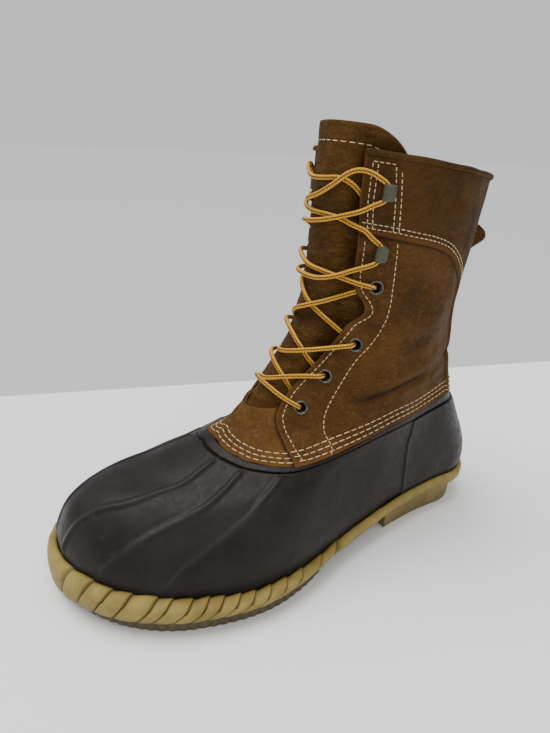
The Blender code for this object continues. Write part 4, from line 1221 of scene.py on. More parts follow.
def rubber_bottom():
    """The moulded rubber bottom with its ridges, counter seam and topline band."""
    u, v, over = rubber_grid()
    uu = np.broadcast_to(u, v.shape)
    height, bright = ridge_relief(uu, v)
    side = mirrored(uu)
    seam_at = np.interp(v, (0.0, 0.105, 0.202, 0.283, 0.365), (0.172, 0.175, 0.174, 0.172, 0.180))
    to_seam = (side - seam_at) * FOOT_GIRTH
    below = ease((-over - 0.5 * MM) / (0.6 * MM))
    d = height * ease((-over - 1.0 * MM) / (5 * MM))
    d = d + COUNTER_STEP * ease((0.2 * MM - to_seam) / (0.5 * MM)) * below
    seam = bell(to_seam + 0.7 * MM, 0.6 * MM) * below
    d = d + 0.35 * MM * seam
    # groove under the band, the rounded band, and the tuck behind the leather
    d = d - 1.30 * MM * bell(over, 0.60 * MM)
    d = d + 0.15 * MM * ease((over - 0.1 * MM) / (0.9 * MM)) * ease((6.2 * MM - over) / (1.6 * MM))
    front = np.clip((side - 0.312) / 0.010, 0.0, 1.0)
    tuck = ease((over - 5.6 * MM) / (1.2 * MM))
    d = d - tuck * (1.6 * MM + 0.7 * MM * front)
    d = d + hand_made(uu, v, over, below)
    # painted shade in the groove under the band and in the tuck under the leather's edge, and a
    # painted shadow beside the counter seam's step
    groove = bell(over, 0.6 * MM) + 0.95 * ease((over - 4.9 * MM) / (1.1 * MM))
    shadow = 0.9 * bell(to_seam - 0.35 * MM, 0.45 * MM) * below
    # painted highlight on the seam's bead and the ridges' tops
    made = mesh_object("rubber_bottom", at(uu, v, d), grid_faces(*v.shape, wrap=True), RUBBER_LOOK,
                       {"groove": np.clip(groove + shadow, 0, 1),
                        "painted_highlight": np.clip(0.40 * seam + 0.28 * bright, 0, 1)})
    inner_u = u[::4]
    inner_v = np.linspace(0, 1, 22)[:, None] * (leather_edge(inner_u) + 0.02)[None, :]
    inner = at(np.broadcast_to(inner_u, inner_v.shape), inner_v, -RUBBER)
    wall = mesh_object("rubber_inside", inner, grid_faces(*inner_v.shape, wrap=True, flip=True),
                       LINING_LOOK, {"groove": 0.0, "painted_highlight": 0.0})
    for piece in (made, wall):
        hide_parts("rubber_shell")


def rand_columns():
    """u, distance to the nearest lug groove as a share, and rope share, of each column."""
    lines = list(LUG_EDGES)[::-1] + [1.0 - u for u in LUG_EDGES]
    shares = (0.0, 0.035, 0.08, 0.15, 0.25, 0.37, 0.5, 0.63, 0.75, 0.85, 0.92, 0.965)
    cols = []
    for start, end in zip(lines[:-1], lines[1:]):
        splits = shares
        if end - start > 0.05:
            # the wide lug over the toe tip
            splits = shares[:4] + tuple(np.linspace(0.2, 0.8, 26)) + shares[-3:]
        for s in splits:
            cols.append((start + (end - start) * s, s, 1.0))
    cols.append((lines[-1], 0.0, 1.0))
    # plain foxing from the last lug round the heel
    for u in np.linspace(lines[-1], 1.0 + lines[0], 150)[1:-1]:
        cols.append((u % 1.0, 0.5, 0.0))
    cols.sort()
    return columns(cols)


def gum_outsole():
    """The gum outsole: rope lugs around the front, foxing behind, chain tread below."""
    u, inside, rope = rand_columns()
    share, under, tread, cover, stand = columns(RAND)
    way = along(last(u, 0.0)[:, 1])
    under_z = smooth(way, share, under) * HEEL_HEIGHT
    tread_z = np.interp(way, share, tread) * HEEL_HEIGHT
    cover_v = smooth(way, share, cover) * np.interp(way, (0.0, 0.22, 0.32), (0.66, 0.68, 1.0))
    out = smooth(way, share, stand) * BALL_WIDTH
    lean = LUG_SLANT * rope * np.clip((0.5 - np.mod(u, 1.0)) / 0.06, -1, 1)
    top_z = last(u, cover_v)[:, 2]
    near_edge = np.where(rope > 0, np.minimum(inside, 1 - inside), 0.5)
    groove = bell(near_edge, 0.032) * rope
    pillow = np.sin(np.pi * np.clip(near_edge * 2.0, 0, 1) / 2) ** 0.35
    # the top of each lug climbs towards the heel and is a little uneven
    climb = np.where(u < 0.5, 0.5 - inside, inside - 0.5) * 1.5 * MM
    climb = climb * np.minimum(near_edge / 0.06, 1.0)
    climb = rope * (climb + waves(u * 0.6, 0 * u, 61, 0.02) * 0.4 * MM)
    step = COUNTER_STEP * (mirrored(u) < COUNTER_SEAM + 0.02)
    rows = []
    dark = []
    dirt_and_shade = []
    for slant, out_share, drop, bite, swell in RAND_PROFILE:
        moved = u + lean * slant
        base = last(moved, cover_v + (0.04 - cover_v) * min(1.0, slant * 3))
        reach = SEAT_GAP * 0.3 + step + out * out_share
        reach = reach - groove * 1.5 * MM * bite + (pillow - 0.6) * swell * MM * rope
        point = base + outward(moved) * reach[:, None]
        z = top_z - (top_z - under_z) * drop
        z = z + (pillow - 0.75) * 0.9 * MM * rope * (drop < 0.3) - groove * 0.5 * MM * (drop < 0.3)
        z = z - (pillow - 0.75) * 0.5 * MM * rope * (drop > 0.85) + climb * (drop < 0.3)
        point[:, 2] = z
        rows.append(point - ORIGIN)
        # darker lug grooves, and darker towards the lugs' undersides: dirt and painted shade
        dark.append(np.clip(groove * bite, 0, 1))
        dirt_and_shade.append(np.full(len(u), 0.25 + 0.6 * max(0.0, drop - 0.7) / 0.3))
    ring = last(u, 0.04)
    level_out = outward(u)
    # the chain tread shows as teeth along its side
    walk = walked(ring)
    teeth = ease(0.5 + 0.9 * np.sin(2 * np.pi * walk / TEETH_PITCH)) * 0.5 * MM
    # inset, height and whether the teeth cut in
    for inset, z, cut in ((TREAD_INSET, under_z - 0.2 * MM, False),
                          (TREAD_INSET, under_z * 0.5 + tread_z * 0.5, True),
                          (TREAD_INSET, tread_z + 1.0 * MM, True),
                          (TREAD_INSET + 0.3 * MM, tread_z + 0.3 * MM, True),
                          (TREAD_INSET + 0.9 * MM, tread_z, True)):
        point = ring + level_out * (out - inset - teeth * cut)[:, None]
        point[:, 2] = np.minimum(z, under_z - 0.1 * MM)
        rows.append(point - ORIGIN)
        # the tread's side under the overhanging lugs: painted shade, darker at the teeth, plus dirt
        dark.append(np.clip(0.35 + teeth / (1.2 * MM), 0, 1))
        dirt_and_shade.append(np.full(len(u), 1.0))
    rows = np.array(rows)[::-1]
    made = mesh_object("gum_outsole", rows, grid_faces(*rows.shape[:2], wrap=True), GUM_LOOK,
                       {"groove": np.array(dark)[::-1], "dirt_and_shade": np.array(dirt_and_shade)[::-1]})
    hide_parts("outsole")
    tread_plate(rows[0], u)


def chain(x, y):
    """Height share of the chain tread: wavy bars across the sole."""
    bend = 0.32 * np.sin(2 * np.pi * x / CHAIN_WAVE)
    bars = np.cos(2 * np.pi * (y / CHAIN_PITCH + bend))
    return ease((bars + 0.35) / 0.5)


def across_sole(outer, inner, ys, steps):
    """x, y of points from side to side of the sole, and how far they are from the nearer side."""
    xo = np.interp(ys, outer[:, 1], outer[:, 0])
    xi = np.interp(ys, inner[:, 1], inner[:, 0])
    share = np.linspace(0, 1, steps)[None, :]
    x = xo[:, None] + (xi - xo)[:, None] * share
    y = np.broadcast_to(ys[:, None], x.shape)
    return x, y, np.minimum(share, 1 - share) * np.abs(xi - xo)[:, None]


def by_y(points):
    """Points sorted from the toe to the heel."""
    return points[np.argsort(points[:, 1])]


def tread_plate(ring, u):
    """The underside of the outsole, from side to side, with the chain tread."""
    ys = np.linspace(ring[:, 1].min() + 0.2 * MM, ring[:, 1].max() - 0.2 * MM, 250)
    outer = by_y(ring[u <= 0.5])
    inner = by_y(ring[u >= 0.5])
    x, y, inset = across_sole(outer, inner, ys, 90)
    z = np.interp(ys, outer[:, 1], outer[:, 2])[:, None]
    front = ease((inset - 2 * MM) / (1.5 * MM)) * ease((0.045 - y) / 0.004)
    cut = (1 - chain(x, y)) * front
    points = np.stack([x, y, z + cut * TREAD_DEPTH], -1)
    # darker chain cuts and a darker underside: dirt and painted shade
    made = mesh_object("tread_plate", points, grid_faces(*x.shape), GUM_LOOK,
                       {"groove": cut * 0.7, "dirt_and_shade": 0.9})
    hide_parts("outsole")


def gum_heel():
    """The heel block with softened edges and a grooved underside."""
    probe = np.linspace(0.0, 0.25, 2000)
    breast = probe[np.argmin(np.abs(last(probe, 0.0)[:, 1] - HEEL_BREAST))]
    half = np.linspace(0.0, breast, 110)
    u = np.concatenate([half, 1.0 - half[:0:-1]])
    u = u[np.argsort(np.where(u > 0.5, u - 1.0, u))]
    table = columns(RAND)
    way = along(last(u, 0.0)[:, 1])
    out = smooth(way, table[0], table[-1]) * BALL_WIDTH - HEEL_INSET
    rows = []
    dirt_and_shade = []
    front = np.linspace(0, 1, 60)[1:-1]
    # inset and height, from the seat to the ground
    for inset, z in ((0.0, HEEL_HEIGHT - 0.0003), (0.0, HEEL_HEIGHT * 0.8),
                     (0.1 * MM, HEEL_HEIGHT * 0.6), (0.2 * MM, HEEL_HEIGHT * 0.4),
                     (0.4 * MM, HEEL_HEIGHT * 0.2), (0.5 * MM, 1.6 * MM), (0.8 * MM, 0.6 * MM),
                     (1.4 * MM, 0.0)):
        ring = last(u, 0.0) + outward(u) * (out - inset)[:, None]
        ring[:, 1] = np.maximum(ring[:, 1], HEEL_BREAST + inset)
        ring[:, 2] = z
        # straight breast from the outer to the inner corner
        face = ring[-1] + (ring[0] - ring[-1]) * front[:, None]
        rows.append(np.concatenate([ring, face]) - ORIGIN)
        # darker towards the ground: dirt and painted shade
        dirt_and_shade.append(np.full(len(rows[-1]), 0.35 + 0.5 * (1 - z / HEEL_HEIGHT)))
    rows = np.array(rows)[::-1]
    made = mesh_object("gum_heel", rows, grid_faces(*rows.shape[:2], wrap=True), GUM_LOOK,
                       {"groove": 0.0, "dirt_and_shade": np.array(dirt_and_shade)[::-1]})
    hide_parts("heel_block")
    ring = rows[0]
    middle = len(u) // 2
    ys = np.linspace(ring[:, 1].min() + 0.05 * MM, ring[:, 1].max() - 0.3 * MM, 110)
    x, y, inset = across_sole(by_y(ring[middle:len(u)]), by_y(ring[:middle + 1][::-1]), ys, 70)
    room = ease((inset - 2 * MM) / (1.5 * MM)) * ease((y - ys[0] - 2 * MM) / (1.5 * MM))
    cut = (1 - chain(x, y)) * room * ease((ys[-1] - y - 2 * MM) / (1.5 * MM))
    # darker chain cuts and a darker underside: dirt and painted shade
    sole = mesh_object("heel_tread", np.stack([x, y, cut * TREAD_DEPTH], -1),
                       grid_faces(*x.shape), GUM_LOOK, {"groove": cut * 0.7, "dirt_and_shade": 0.9})
    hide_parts("heel_block")


def tongue_place(s, t):
    """u, v of the tongue, s across, t from the throat to the top."""
    half = 0.145 + 0.040 * t
    drop = 0.062 * np.clip((np.abs(s) - 0.54) / 0.46, 0, 1) ** 2.1
    v = TONGUE_BOTTOM + (TONGUE_TOP - drop - TONGUE_BOTTOM) * t
    return 0.5 + s * half, v


def tongue():
    """The leather tongue with its wrinkles and cut edges."""
    s, t = np.meshgrid(np.linspace(-1, 1, 150), np.linspace(0, 1, 230))
    u, v = tongue_place(s, t)
    height, dark = tongue_skin(u, v)
    ripple = waves(u * GIRTH * 0.35, v * CLIMB, 14, 0.0055)
    height = height + ripple * 0.10 * MM * ease((0.915 - t) / 0.03)
    top = (1 - t) * TONGUE_HEIGHT
    height = height - RIM_DROP * bell(top, 0.9 * MM)
    height = height - 0.20 * MM * np.clip(1 - np.abs(t - TONGUE_ROW) / 0.004, 0, 1)
    edge = np.maximum(bell(top, 1.5 * MM), bell(1 - np.abs(s), 0.03))
    points = at(u, v, height)
    # painted shade in the wrinkles' troughs, at half strength
    made = mesh_object("tongue_leather", points, grid_faces(*u.shape), TONGUE_LOOK,
                       {"edge": edge * 0.6, "painted_shade": dark * 0.5})
    inner = at(u, v, height - 0.0020)
    back = inner[::2, ::2]
    lining = mesh_object("tongue_back", back, grid_faces(*back.shape[:2], flip=True), LINING_LOOK)
    rim = [plain_strip(points[-1], inner[-1]), plain_strip(points[:, -1], inner[:, -1]),
           plain_strip(points[::-1, 0], inner[::-1, 0])]
    edges = stripes("tongue_edges", rim, EDGE_LOOK, 0.6)
    for piece, slot in ((made, "leather"), (lining, "leather"), (edges, "leather_edge")):
        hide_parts("tongue")


def binding():
    """The rolled leather binding over the collar."""
    reach = float(flap_edge(1.0))
    cols = np.linspace(INNER_BACK - reach, reach, 360)
    per = rise_in_v(cols, np.full(len(cols), 0.985), 1.0)
    wave = waves(cols * GIRTH, 0 * cols, 41, 0.013) * 0.12 * MM
    profile = (
        # outward, above the collar, in mm
        (1.5, -1.5), (2.0, -1.6), (2.5, -1.4), (2.8, -0.8), (2.8, 0.0), (2.5, 0.7),
        (1.9, 1.2), (1.0, 1.45), (0.0, 1.5), (-1.0, 1.45), (-2.0, 1.1), (-2.8, 0.4),
        (-3.2, -0.6), (-3.4, -1.8), (-3.3, -2.8), (-2.6, -3.0),
    )
    rows = np.array([at(cols, COLLAR_V + (rise * MM + wave) * per, d * MM + wave)
                     for d, rise in profile])
    edge = np.array([0.5 * (rise < -1.3 and d > 0) + 0.0 * cols for d, rise in profile])
    made = mesh_object("rolled_binding", rows, grid_faces(*rows.shape[:2]), BINDING_LOOK,
                       {"edge": edge, "painted_shade": 0.0})
    caps = []
    for end in (0, -1):
        ring = rows[:, end]
        middle = ring.mean(0)
        cap = np.array([middle + (ring - middle) * k for k in (0.0, 0.5, 1.0)])
        caps.append(cap if end == 0 else cap[::-1])
    ends = stripes("binding_ends", caps, EDGE_LOOK)
    for piece in (made, ends):
        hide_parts("collar_binding")


def back_strap():
    """The narrow strap over the back seam with its curled top end."""
    v = np.concatenate([np.linspace(0.405, 0.79, 80), np.linspace(0.793, 0.885, 44)])
    # lift and bend in mm along the strap
    lift = np.interp(v, (0.405, 0.425, 0.44, 0.80, 0.83, 0.86, 0.885),
                     (2.6, 1.2, 0, 0, 1.6, 4.6, 7.0))
    lift = lift + waves(v * CLIMB, 0 * v, 51, 0.03) * 0.15
    # the outer corner of the loose end is bent further out
    flare_mm = smooth(v, (0.405, 0.78, 0.80, 0.83, 0.857, 0.870, 0.885),
                      (0, 0, 0.4, 4.0, 9.5, 8.0, 3.0))
    narrow = np.interp(v, (0.405, 0.86, 0.875, 0.885), (1.0, 1.0, 0.9, 0.6))
    s, lifts = np.meshgrid(np.linspace(-1, 1, 25), lift)
    lifts = lifts + flare_mm[:, None] * np.clip(0.35 + 0.65 * s, 0, 1) ** 1.5
    vv = np.broadcast_to(v[:, None], s.shape)
    uu = s * (BACK_STRAP_HALF / GIRTH) * narrow[:, None]
    base = PANEL_STEP + skin(uu, vv) + lifts * MM
    outer = at(uu, vv, base + 1.9 * MM - 0.45 * MM * np.abs(s) ** 8)
    inner = at(uu, vv, base + 0.2 * MM)
    edge = np.abs(s) ** 6 + ease((vv - 0.82) / 0.05) * 0.7
    made = mesh_object("back_strap", outer, grid_faces(*s.shape), PANEL_LOOK,
                       {"edge": np.clip(edge, 0, 1), "painted_shade": 0.0})
    rim = [strip(outer[:, -1], inner[:, -1]), strip(outer[::-1, 0], inner[::-1, 0]),
           strip(outer[0], inner[0])[::-1], strip(outer[-1], inner[-1])[:, ::-1],
           inner[:, ::-1]]
    edges = stripes("back_strap_edges", rim, EDGE_LOOK)
    for piece in (made, edges):
        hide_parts("backstay")


def surface_frame(u, v, d=0.0):
    """Point, outward normal, towards-throat and upward directions at a place."""
    e = 0.004
    point = at(np.array([u]), np.array([v]), d)[0]
    out = normal([u], [v])[0]
    up = last([u], [v + e])[0] - last([u], [v - e])[0]
    up = up - out * up.dot(out)
    up = up / np.linalg.norm(up)
    side = 1.0 if u < 0.5 else -1.0
    throat = last([u + e * side], [v])[0] - last([u - e * side], [v])[0]
    throat = throat - out * throat.dot(out) - up * throat.dot(up)
    throat = throat / np.linalg.norm(throat)
    return point, out, throat, up


def lathe(place, profile, steps):
    """Rings of points turned around the outward normal."""
    point, out, throat, up = place
    angle = np.linspace(0, 2 * np.pi, steps, endpoint=False)
    return np.array([point + out * height + np.outer(np.cos(angle), throat) * radius
                     + np.outer(np.sin(angle), up) * radius for radius, height in profile])


def eyelets():
    """Rolled eyelets with barrels painted near black for the shade inside them."""
    face = []
    # radius and height, from the leather over the rolled rim into the barrel
    for k in range(11):
        a = math.pi * k / 10
        face.append((3.65 * MM + 0.75 * MM * math.cos(a), 0.15 * MM + 0.85 * MM * math.sin(a)))
    face += [(2.85 * MM, -0.1 * MM), (2.75 * MM, -0.5 * MM), (2.6 * MM, -2.4 * MM),
             (2.8 * MM, -2.9 * MM), (3.4 * MM, -2.9 * MM), (3.7 * MM, -2.5 * MM)]
    # painted shade: the faces inside the barrel are marked for near black
    deep = np.array([0.0 if height > -0.2 * MM else 1.0 for _, height in face])
    for i, (u, v) in enumerate(EYELETS):
        for side, place in (("lateral", u), ("medial", 1.0 - u)):
            lift = float(skin(np.array([place]), np.array([v]))[0])
            rows = lathe(surface_frame(place, v, lift), face, EYELET_SIDES)
            flip = side == "medial"
            made = mesh_object(f"ring_{side}_{i + 1}", rows,
                               grid_faces(*rows.shape[:2], wrap=True, flip=flip), EYELET_LOOK,
                               {"deep": np.repeat(deep, EYELET_SIDES)})
            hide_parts(f"eyelet_{side}_{i + 1}")


def hook_rows(spot):
    """Sections along a bent hook plate, from its base round the bend to its arm."""
    point, out, throat, up = spot
    # towards the throat, outward, half length in mm
    path = [(-1.5, 0.5, 3.0), (-1.2, 0.55, 4.0), (-0.4, 0.6, 4.6), (0.8, 0.6, 4.8), (2.4, 0.6, 4.7)]
    for k in range(9):
        a = math.radians(-90 + 180 * k / 8)
        path.append((2.4 + 2.3 * math.cos(a), 2.9 + 2.3 * math.sin(a), 4.4))
    path += [(1.4, 5.2, 4.4), (0.4, 5.15, 4.3), (-0.5, 5.05, 4.1), (-1.1, 4.8, 3.5),
             (-1.3, 4.4, 3.0)]
    path = np.array(path) * MM
    run = np.gradient(path[:, :2], axis=0)
    run = unit(run)
    side = np.stack([run[:, 1], -run[:, 0]], 1)
    rows = []
    for k, stop in enumerate(path):
        section = []
        # along the plate's length and through its thickness, as shares of their halves
        for a, b in ((-1, -0.7), (-0.94, -1), (-0.4, -1), (0.4, -1), (0.94, -1), (1, -0.7),
                     (1, 0.7), (0.94, 1), (0.4, 1), (-0.4, 1), (-0.94, 1), (-1, 0.7)):
            at_xy = stop[:2] + side[k] * b * HOOK_HALF_THICK
            section.append(point + throat * at_xy[0] + out * at_xy[1] + up * a * stop[2])
        rows.append(section)
    return np.array(rows)


def hooks():
    """Speed hooks: bent plates, open to the rear."""
    for i, (u, v) in enumerate(HOOKS):
        for side, place in (("lateral", u), ("medial", 1.0 - u)):
            lift = PANEL_STEP + 0.0002 if i == 1 else 0.0002
            rows = hook_rows(surface_frame(place, v, lift))
            count, wide = rows.shape[:2]
            ends = []
            for base in (0, (count - 1) * wide):
                for k in range(1, 5):
                    ends.append([base + k, base + k + 1, base + 10 - k, base + 11 - k])
                ends.append([base, base + 1, base + 10, base + 11])
            faces = np.concatenate([grid_faces(count, wide, wrap=True, flip=side == "lateral"),
                                    np.array(ends)])
            made = mesh_object(f"speed_hook_{side}_{i + 1}", rows.reshape(-1, 3), faces, HOOK_LOOK)
            shape = made.modifiers.new("round", "BEVEL")
            shape.width = 0.25 * MM
            shape.segments = 2
            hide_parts(f"hook_{side}_{i + 1}")


def eye(side, i):
    """u, v of an eyelet; side is 1 on the outer side and -1 on the inner one."""
    u, v = EYELETS[i - 1]
    return (u if side > 0 else 1 - u, v)


def near(place, toward, steps):
    """Stops close to an eyelet on the way to another stop: mm away and lift in mm."""
    stops = []
    run = np.array([(toward[0] - place[0]) * GIRTH, (toward[1] - place[1]) * CLIMB])
    run = run / np.linalg.norm(run)
    for far, lift in steps:
        stops.append((place[0] + run[0] * far * MM / GIRTH,
                      place[1] + run[1] * far * MM / CLIMB, lift))
    return stops


def through(side, i, before, after, inward):
    """Stops of the lace through an eyelet, from the stop before to the stop after."""
    place = eye(side, i)
    outside = ((5.0, 1.8), (2.4, 1.9), (1.2, 1.2))
    inside = ((1.2, -3.0), (2.6, -4.0), (6.0, -4.2))
    if inward:
        ahead = near(place, before, outside)
        beyond = near(place, after, inside)
    else:
        ahead = near(place, before, inside)[::-1]
        beyond = near(place, after, outside)[::-1]
    return ahead + [(place[0] + side * 1.0 * MM / GIRTH, place[1], -0.8)] + beyond


def around(side, i):
    """Stops of the lace round a hook's stem, from below to above."""
    u, v = HOOKS[i - 1]
    place = u if side > 0 else 1 - u
    extra = 1.3 if i == 2 else 0.0
    stops = []
    # towards the throat, up, lift in mm
    for x, y, lift in ((6.2, -6.2, 2.5), (3.0, -4.6, 2.75), (1.3, -1.8, 2.75),
                       (1.3, 1.8, 2.75), (3.0, 4.6, 2.75), (6.2, 6.2, 2.5)):
        stops.append((place + side * x * MM / GIRTH, v + y * MM / CLIMB, lift + extra))
    return stops


def lace_route():
    """The whole lace, from the end tucked on the inner side to the outer one.

    Each list holds stops in u, v and mm off the last: the bar, then one_a to six_a up
    to the inner end and one_b to six_b up to the outer end.
    """
    one_b = [(0.580, 0.532, -3.8), (0.535, 0.545, -1.2), (0.482, 0.550, 1.4), (0.439, 0.562, 2.3),
             (0.405, 0.569, 2.1)]
    two_b = [(0.414, 0.606, -3.8), (0.445, 0.630, -1.6), (0.470, 0.645, -0.9), (0.529, 0.668, 0.6),
             (0.575, 0.668, 2.0), (0.620, 0.657, 2.1)]
    three_b = [(0.618, 0.668, -4.2), (0.560, 0.688, -2.0), (0.507, 0.708, 0.8), (0.462, 0.722, 1.9),
               (0.426, 0.735, 0.4), (0.378, 0.752, -3.4)]
    four_b = [(0.365, 0.772, 2.2), (0.402, 0.779, 0.6), (0.440, 0.784, -0.8), (0.498, 0.790, -0.4),
              (0.540, 0.800, 0.6), (0.590, 0.806, 2.2)]
    five_b = [(0.610, 0.856, 2.4), (0.562, 0.861, 1.4), (0.512, 0.863, 1.9), (0.462, 0.869, 2.6),
              (0.417, 0.881, 2.5), (0.385, 0.893, 2.5)]
    six_b = [(0.376, 0.956, 2.8), (0.402, 0.959, 2.1), (0.420, 0.951, 2.3), (0.438, 0.936, 2.6),
             (0.472, 0.915, 2.3), (0.530, 0.900, 1.6), (0.570, 0.898, -0.4), (0.604, 0.895, -3.8),
             (0.640, 0.888, -4.4), (0.670, 0.878, -4.4)]
    bar = [(0.398, 0.511, 1.8), (0.430, 0.526, 1.4), (0.466, 0.538, 0.8), (0.510, 0.542, 0.6),
           (0.557, 0.536, 1.1), (0.600, 0.516, 1.8)]
    one_a = [(0.415, 0.541, -3.9), (0.447, 0.563, -1.3), (0.488, 0.580, -0.8), (0.535, 0.589, 0.6),
             (0.575, 0.588, 2.0), (0.605, 0.582, 2.2)]
    two_a = [(0.590, 0.598, -4.0), (0.545, 0.606, -1.4), (0.487, 0.612, 0.8), (0.441, 0.622, 2.2),
             (0.400, 0.633, 2.2), (0.370, 0.641, 2.2)]
    three_a = [(0.380, 0.678, -4.0), (0.432, 0.710, -1.5), (0.470, 0.727, -1.0), (0.509, 0.748, -0.6),
               (0.560, 0.764, -2.4), (0.605, 0.769, -4.1)]
    four_a = [(0.620, 0.771, 2.2), (0.570, 0.774, 1.7), (0.512, 0.774, 1.8), (0.455, 0.773, 2.4),
              (0.415, 0.781, 2.5), (0.385, 0.793, 2.3)]
    five_a = [(0.372, 0.859, 2.3), (0.398, 0.867, 1.0), (0.427, 0.875, -0.8), (0.460, 0.878, -0.9),
              (0.512, 0.880, -0.2), (0.570, 0.888, 1.4), (0.605, 0.897, 2.4)]
    six_a = [(0.605, 0.962, 2.6), (0.578, 0.958, 2.0), (0.562, 0.947, 1.2), (0.535, 0.938, 0.0),
             (0.475, 0.938, -0.9), (0.444, 0.941, -1.0), (0.424, 0.938, -1.8), (0.402, 0.926, -3.4),
             (0.380, 0.905, -4.4), (0.350, 0.885, -4.5)]
    return np.array([
        *six_a[::-1], *around(-1, 2)[::-1], *five_a[::-1], *around(1, 1)[::-1], *four_a[::-1],
        *through(-1, 4, four_a[0], three_a[-1], True), *three_a[::-1],
        *through(1, 3, three_a[0], two_a[-1], False), *two_a[::-1],
        *through(-1, 2, two_a[0], one_a[-1], False), *one_a[::-1],
        *through(1, 1, one_a[0], bar[0], False), *bar, *through(-1, 1, bar[-1], one_b[0], True),
        *one_b, *through(1, 2, one_b[-1], two_b[0], True), *two_b,
        *through(-1, 3, two_b[-1], three_b[0], True), *three_b,
        *through(1, 4, three_b[-1], four_b[0], False), *four_b, *around(-1, 1), *five_b,
        *around(1, 2), *six_b,
    ])


def resampled(stops, step):
    """Even points on a smooth line through stops."""
    gaps = np.linalg.norm(np.diff(stops, axis=0), axis=1)
    knots = np.concatenate([[0], np.cumsum(np.maximum(gaps, 1e-6) ** 0.6)])
    fine = np.linspace(0, knots[-1], 6000)
    line = np.stack([smooth(fine, knots, stops[:, k]) for k in range(3)], 1)
    for _ in range(3):
        line[1:-1] = (line[:-2] + line[1:-1] * 2 + line[2:]) / 4
    length = walked(line)
    count = int(length[-1] / step)
    even = np.linspace(0, length[-1], count)
    return np.stack([np.interp(even, length, line[:, k]) for k in range(3)], 1), even


def tube(centre, guide, radius, sides):
    """Rings around a line; guide points roughly to each ring's front."""
    run = np.gradient(centre, axis=0)
    run = unit(run)
    front = guide - run * np.einsum("ij,ij->i", guide, run)[:, None]
    front = unit(front)
    for _ in range(12):
        front[1:-1] = front[:-2] + front[1:-1] + front[2:]
        front = front - run * np.einsum("ij,ij->i", front, run)[:, None]
        front = unit(front)
    side = np.cross(run, front)
    angle = np.linspace(0, 2 * np.pi, sides, endpoint=False)
    rings = (centre[:, None] + np.asarray(radius)[:, None, None]
             * (front[:, None] * np.cos(angle)[None, :, None]
                + side[:, None] * np.sin(angle)[None, :, None]))
    return rings, np.cos(angle), np.sin(angle)


def eyelet_gaps(centre, d):
    """Distance of points to each of the eight eyelets' middles at level d, one at a time."""
    for side in (1, -1):
        for i in range(1, 5):
            u, v = eye(side, i)
            yield np.linalg.norm(centre - at(np.array([u]), np.array([v]), d)[0], axis=1)


def lace():
    """One lace through all eyelets and round the hooks."""
    route = lace_route()
    stops = at(route[:, 0], route[:, 1], route[:, 2] * MM)
    centre, run = resampled(stops, 0.8 * MM)
    # soften the line away from the eyelets
    hold = np.ones(len(centre))
    for far in eyelet_gaps(centre, 0.0):
        hold = np.minimum(hold, 1 - bell(far, 4.0 * MM))
    for _ in range(14):
        middle = (centre[:-2] + centre[1:-1] * 2 + centre[2:]) / 4
        centre[1:-1] = centre[1:-1] + (middle - centre[1:-1]) * hold[1:-1, None]
    nearest = np.argmin(np.linalg.norm(centre[:, None] - stops[None], axis=2), axis=1)
    guide = normal(route[nearest, 0], route[nearest, 1])
    # a little thinner inside the barrels, and drawn in at the ends
    radius = np.full(len(centre), LACE_RADIUS)
    for far in eyelet_gaps(centre, -0.8 * MM):
        radius = radius - 0.10 * MM * bell(far, 2.5 * MM)
    radius[:3] *= (0.4, 0.8, 0.95)
    radius[-3:] *= (0.95, 0.8, 0.4)
    rings, front, side = tube(centre, guide, radius, 14)
    count, wide = rings.shape[:2]
    values = {"run": np.repeat(run, wide), "front": np.tile(front, count),
              "side": np.tile(side, count)}
    made = mesh_object("laced_cord", rings, grid_faces(count, wide, wrap=True), LACE_LOOK, values)
    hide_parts("lace_bar", *[f"lace_crossing_{i}" for i in range(1, 6)])


def stitches(name, lines, long, gap, thick, ride_on="upper"):
    """Rows of thread along lines of points and normals; long, gap and thick in mm."""
    points = []
    faces = []
    start = 0
    rng = np.random.default_rng(7)
    angle = np.linspace(0, 2 * np.pi, 6, endpoint=False)
    turn_cos = np.cos(angle)[None, :, None]
    turn_sin = np.sin(angle)[None, :, None]
    # stations along a stitch as shares, its sink at each and its thickness there
    shares = np.array([0.0, 0.06, 0.25, 0.5, 0.75, 0.94, 1.0])
    sink = np.array([-0.45, -0.05, 0.18, 0.22, 0.18, -0.05, -0.45]) * thick * MM
    width = np.array([0.35, 0.8, 1.0, 1.0, 1.0, 0.8, 0.35]) * thick * MM
    for line, lift in lines:
        length = walked(line)
        place = 0.4 * MM
        while place + long * MM < length[-1]:
            size = long * MM * rng.uniform(0.9, 1.08)
            marks = place + size * shares
            spine = np.stack([np.interp(marks, length, line[:, k]) for k in range(3)], 1)
            up = np.stack([np.interp(marks, length, lift[:, k]) for k in range(3)], 1)
            up = unit(up)
            spine = spine + up * sink[:, None]
            run = np.gradient(spine, axis=0)
            run = unit(run)
            side = np.cross(run, up)
            side = unit(side)
            ring = (spine[:, None] + side[:, None] * turn_cos * width[:, None, None]
                    + up[:, None] * turn_sin * width[:, None, None] * 0.8)
            points.append(ring.reshape(-1, 3))
            faces.append(grid_faces(7, 6, wrap=True, start=start, flip=True))
            start += 42
            place += size + gap * MM * rng.uniform(0.85, 1.2)
    made = mesh_object(name, np.concatenate(points), np.concatenate(faces), THREAD_LOOK)
    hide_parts(ride_on)


def on_skin(u, v, extra):
    """A line on the leather: points and normals."""
    u = np.asarray(u, float)
    v = np.asarray(v, float)
    return at(u, v, skin(u, v) + extra), normal(u, v)


def both(u, v, extra):
    """The same line on the outer and the inner side."""
    return [on_skin(u, v, extra), on_skin(1.0 - np.asarray(u), v, extra)]


